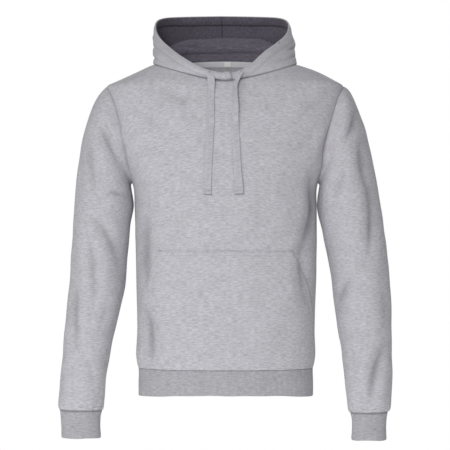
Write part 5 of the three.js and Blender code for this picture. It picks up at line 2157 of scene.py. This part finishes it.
@dataclass(frozen=True)
class Woven:
    """A plain narrow ribbon with a fine weave."""

    name: str
    tone: tuple[float, float, float]
    roughness: float
    sheen: float = 0.1
    warp: float = 520
    weft: float = 430
    worn: tuple[float, float] = (120, 120)
    low_tone: float = 0.86
    fold_shade_tone: float = 0.2

    def make(self) -> bpy.types.Material:
        """Makes the material."""
        material = new_material(self.name)
        shader = Shader(material.node_tree)
        weave = shader.bands("X", self.warp, 0.3) * shader.bands("Y", self.weft, 0.3)
        worn = shader.noise(shader.cloth_place(*self.worn), 3.0)
        tone = shader.blend(weave * 0.35 + worn * 0.25, darker(self.tone, self.low_tone), colour(*self.tone))
        # Painted shade: darker in folds and seams, by how deep they are.
        tone = shader.blend(shader.deep() * 0.5, tone, darker(self.tone, self.fold_shade_tone))
        finish = {
            "Base Color": tone,
            "Roughness": self.roughness,
            "Normal": shader.relief(0.2, 0.0004, weave),
            "Sheen Weight": self.sheen,
        }
        shader.show(finish)
        return material


@dataclass
class Looks:
    """The finishes of the garment."""

    def __post_init__(self) -> None:
        """Makes each material once."""
        fleece_tones = (0.575, 0.565, 0.605), (0.40, 0.395, 0.42)
        rib_tones = (0.535, 0.525, 0.56), (0.36, 0.355, 0.38)
        lining_tones = (0.165, 0.15, 0.19), (0.09, 0.08, 0.106)
        cord_tones = (0.54, 0.535, 0.57), (0.37, 0.365, 0.395)
        self.fleece = Marl("Grey marl fleece", *fleece_tones).make()
        self.rib = Marl("Grey marl rib", *rib_tones, rib_pitch=2.6, bump=0.5).make()
        self.lining = Marl("Charcoal marl jersey", *lining_tones, contrast=0.9).make()
        self.cord = Marl("Flat marl cord", *cord_tones, contrast=0.8).make()
        self.tape = Woven("Neck tape", (0.74, 0.75, 0.78), roughness=0.85).make()
        self.label = Woven("Bare satin ribbon", (0.97, 0.97, 0.97), roughness=0.55).make()
        self.thread = Woven("Sewing thread", (0.50, 0.495, 0.52), roughness=0.7).make()


def dress(obj: bpy.types.Object, material: bpy.types.Material, node: str) -> None:
    """Gives a piece its material, and ties it to the frame.

    Args:
        obj: the piece.
        material: its finish.
        node: the solid that it stands for.
    """
    obj.data.materials.append(material)
    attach(obj, "root")
    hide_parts(node)
    LOG.info("%s: %d faces", obj.name, len(obj.data.polygons))


def lay_out(obj: bpy.types.Object, cloth: Cloth) -> None:
    """Logs the size of a piece's cut, as a sheet of cloth."""
    width, length, area = cloth.flat_size()
    LOG.info("%s is cut %.3f by %.3f m, %.4f square metres", obj.name, width, length, area)


# The studio


@dataclass(frozen=True)
class Lamp:
    """A soft square light."""

    name: str
    place: tuple[float, float, float]
    size: float
    power: float


@dataclass
class Studio:
    """The camera, the pale floor under a white sky, and the soft lights."""

    distance: float = 4.2
    height: float = -0.326
    across: float = -0.0004
    view_width: float = 0.9225
    sensor: float = 36
    floor: float = -1.15
    floor_radius: float = 1.8
    floor_corners: int = 96
    ambient: float = 0.35
    lamps: tuple[Lamp, ...] = (
        Lamp("Front", (-0.8, -4.5, 0.35), 1.4, 88),
        Lamp("Side", (-2.2, -2.9, -0.3), 1.5, 24),
        Lamp("Top", (-0.2, -1.6, 2.6), 1.6, 5),
        Lamp("Back", (0.6, 3.4, 1.0), 2.4, 60),
    )

    def camera(self) -> None:
        """Places the camera level with the middle of the garment, square to its front."""
        data = bpy.data.cameras.new("Camera")
        data.sensor_width = self.sensor
        data.lens = self.sensor * self.distance / self.view_width
        obj = bpy.data.objects.new("Camera", data)
        obj.location = (self.across, -self.distance, self.height)
        obj.rotation_euler = (QUARTER_TURN, 0, 0)
        bpy.context.scene.collection.objects.link(obj)
        bpy.context.scene.camera = obj
        bpy.context.scene.view_settings.view_transform = "Standard"

    def stage(self) -> None:
        """Makes the round floor, the lights, and the sky that they stand under."""
        radius = self.floor_radius
        around = np.linspace(0, 2 * HALF_TURN, self.floor_corners, endpoint=False)
        rim = [(math.cos(a) * radius, math.sin(a) * radius, self.floor) for a in around]
        mesh = bpy.data.meshes.new("Floor")
        mesh.from_pydata(rim, [], [list(range(len(rim)))])
        floor = bpy.data.objects.new("Floor", mesh)
        bpy.context.scene.collection.objects.link(floor)
        floor.data.materials.append(self._paper())
        for lamp in self.lamps:
            self._light(lamp)
        self._sky()

    def _sky(self) -> None:
        """A sky that is white to look at, and dimmer as a light."""
        world = bpy.data.worlds.new("Studio")
        world.use_nodes = True
        world.node_tree.nodes.clear()
        shader = Shader(world.node_tree)
        seen = shader.node("ShaderNodeLightPath", {}, out="Is Camera Ray")
        light = shader.node("ShaderNodeBackground", {}, colour(1, 1, 1), self.ambient)
        white = shader.node("ShaderNodeBackground", {}, colour(1, 1, 1), 1.0)
        sky = shader.node("ShaderNodeMixShader", {}, seen, light, white)
        shader.add("ShaderNodeOutputWorld", {}, {"Surface": sky})
        bpy.context.scene.world = world

    def _paper(self) -> bpy.types.Material:
        """Plain white paper."""
        material = new_material("White paper")
        finish = {
            "Base Color": colour(0.85, 0.85, 0.85),
            "Roughness": 0.9,
            "Emission Color": colour(1, 1, 1),
            "Emission Strength": 0.3,
        }
        Shader(material.node_tree).show(finish)
        return material

    def _light(self, lamp: Lamp) -> None:
        """Adds one light, aimed at the middle of the garment."""
        data = bpy.data.lights.new(lamp.name, "AREA")
        data.shape = "SQUARE"
        data.size = lamp.size
        data.energy = lamp.power
        obj = bpy.data.objects.new(lamp.name, data)
        obj.location = lamp.place
        towards = np.array([0.0, 0.0, self.height]) - np.array(lamp.place)
        yaw = math.atan2(towards[1], towards[0]) - QUARTER_TURN
        tilt = math.atan2(math.hypot(towards[0], towards[1]), -towards[2])
        obj.rotation_euler = (tilt, 0, yaw)
        obj.visible_camera = False
        bpy.context.scene.collection.objects.link(obj)


def main() -> None:
    """Builds and dresses the garment, piece by piece."""
    logging.basicConfig(level=logging.INFO, format="%(name)s: %(message)s")
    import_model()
    studio = Studio()
    studio.camera()
    looks = Looks()
    Drawcord(Side.LEFT, LEFT_STOPS).build(looks)
    Drawcord(Side.RIGHT, RIGHT_STOPS).build(looks)
    panels = Panels()
    sleeves = [Sleeve(Side.LEFT, LEFT_RINGS), Sleeve(Side.RIGHT, RIGHT_RINGS)]
    for sleeve in sleeves:
        sleeve.sew_to(panels)
    hood = Hood()
    hood.build(panels, looks)
    for sleeve in sleeves:
        sleeve.build(looks)
    HemBand().build(panels, looks)
    panels.build(looks)
    Pocket().build(panels, looks)
    NeckTrim().build(panels, looks)
    studio.stage()


if __name__ == "__main__":
    main()
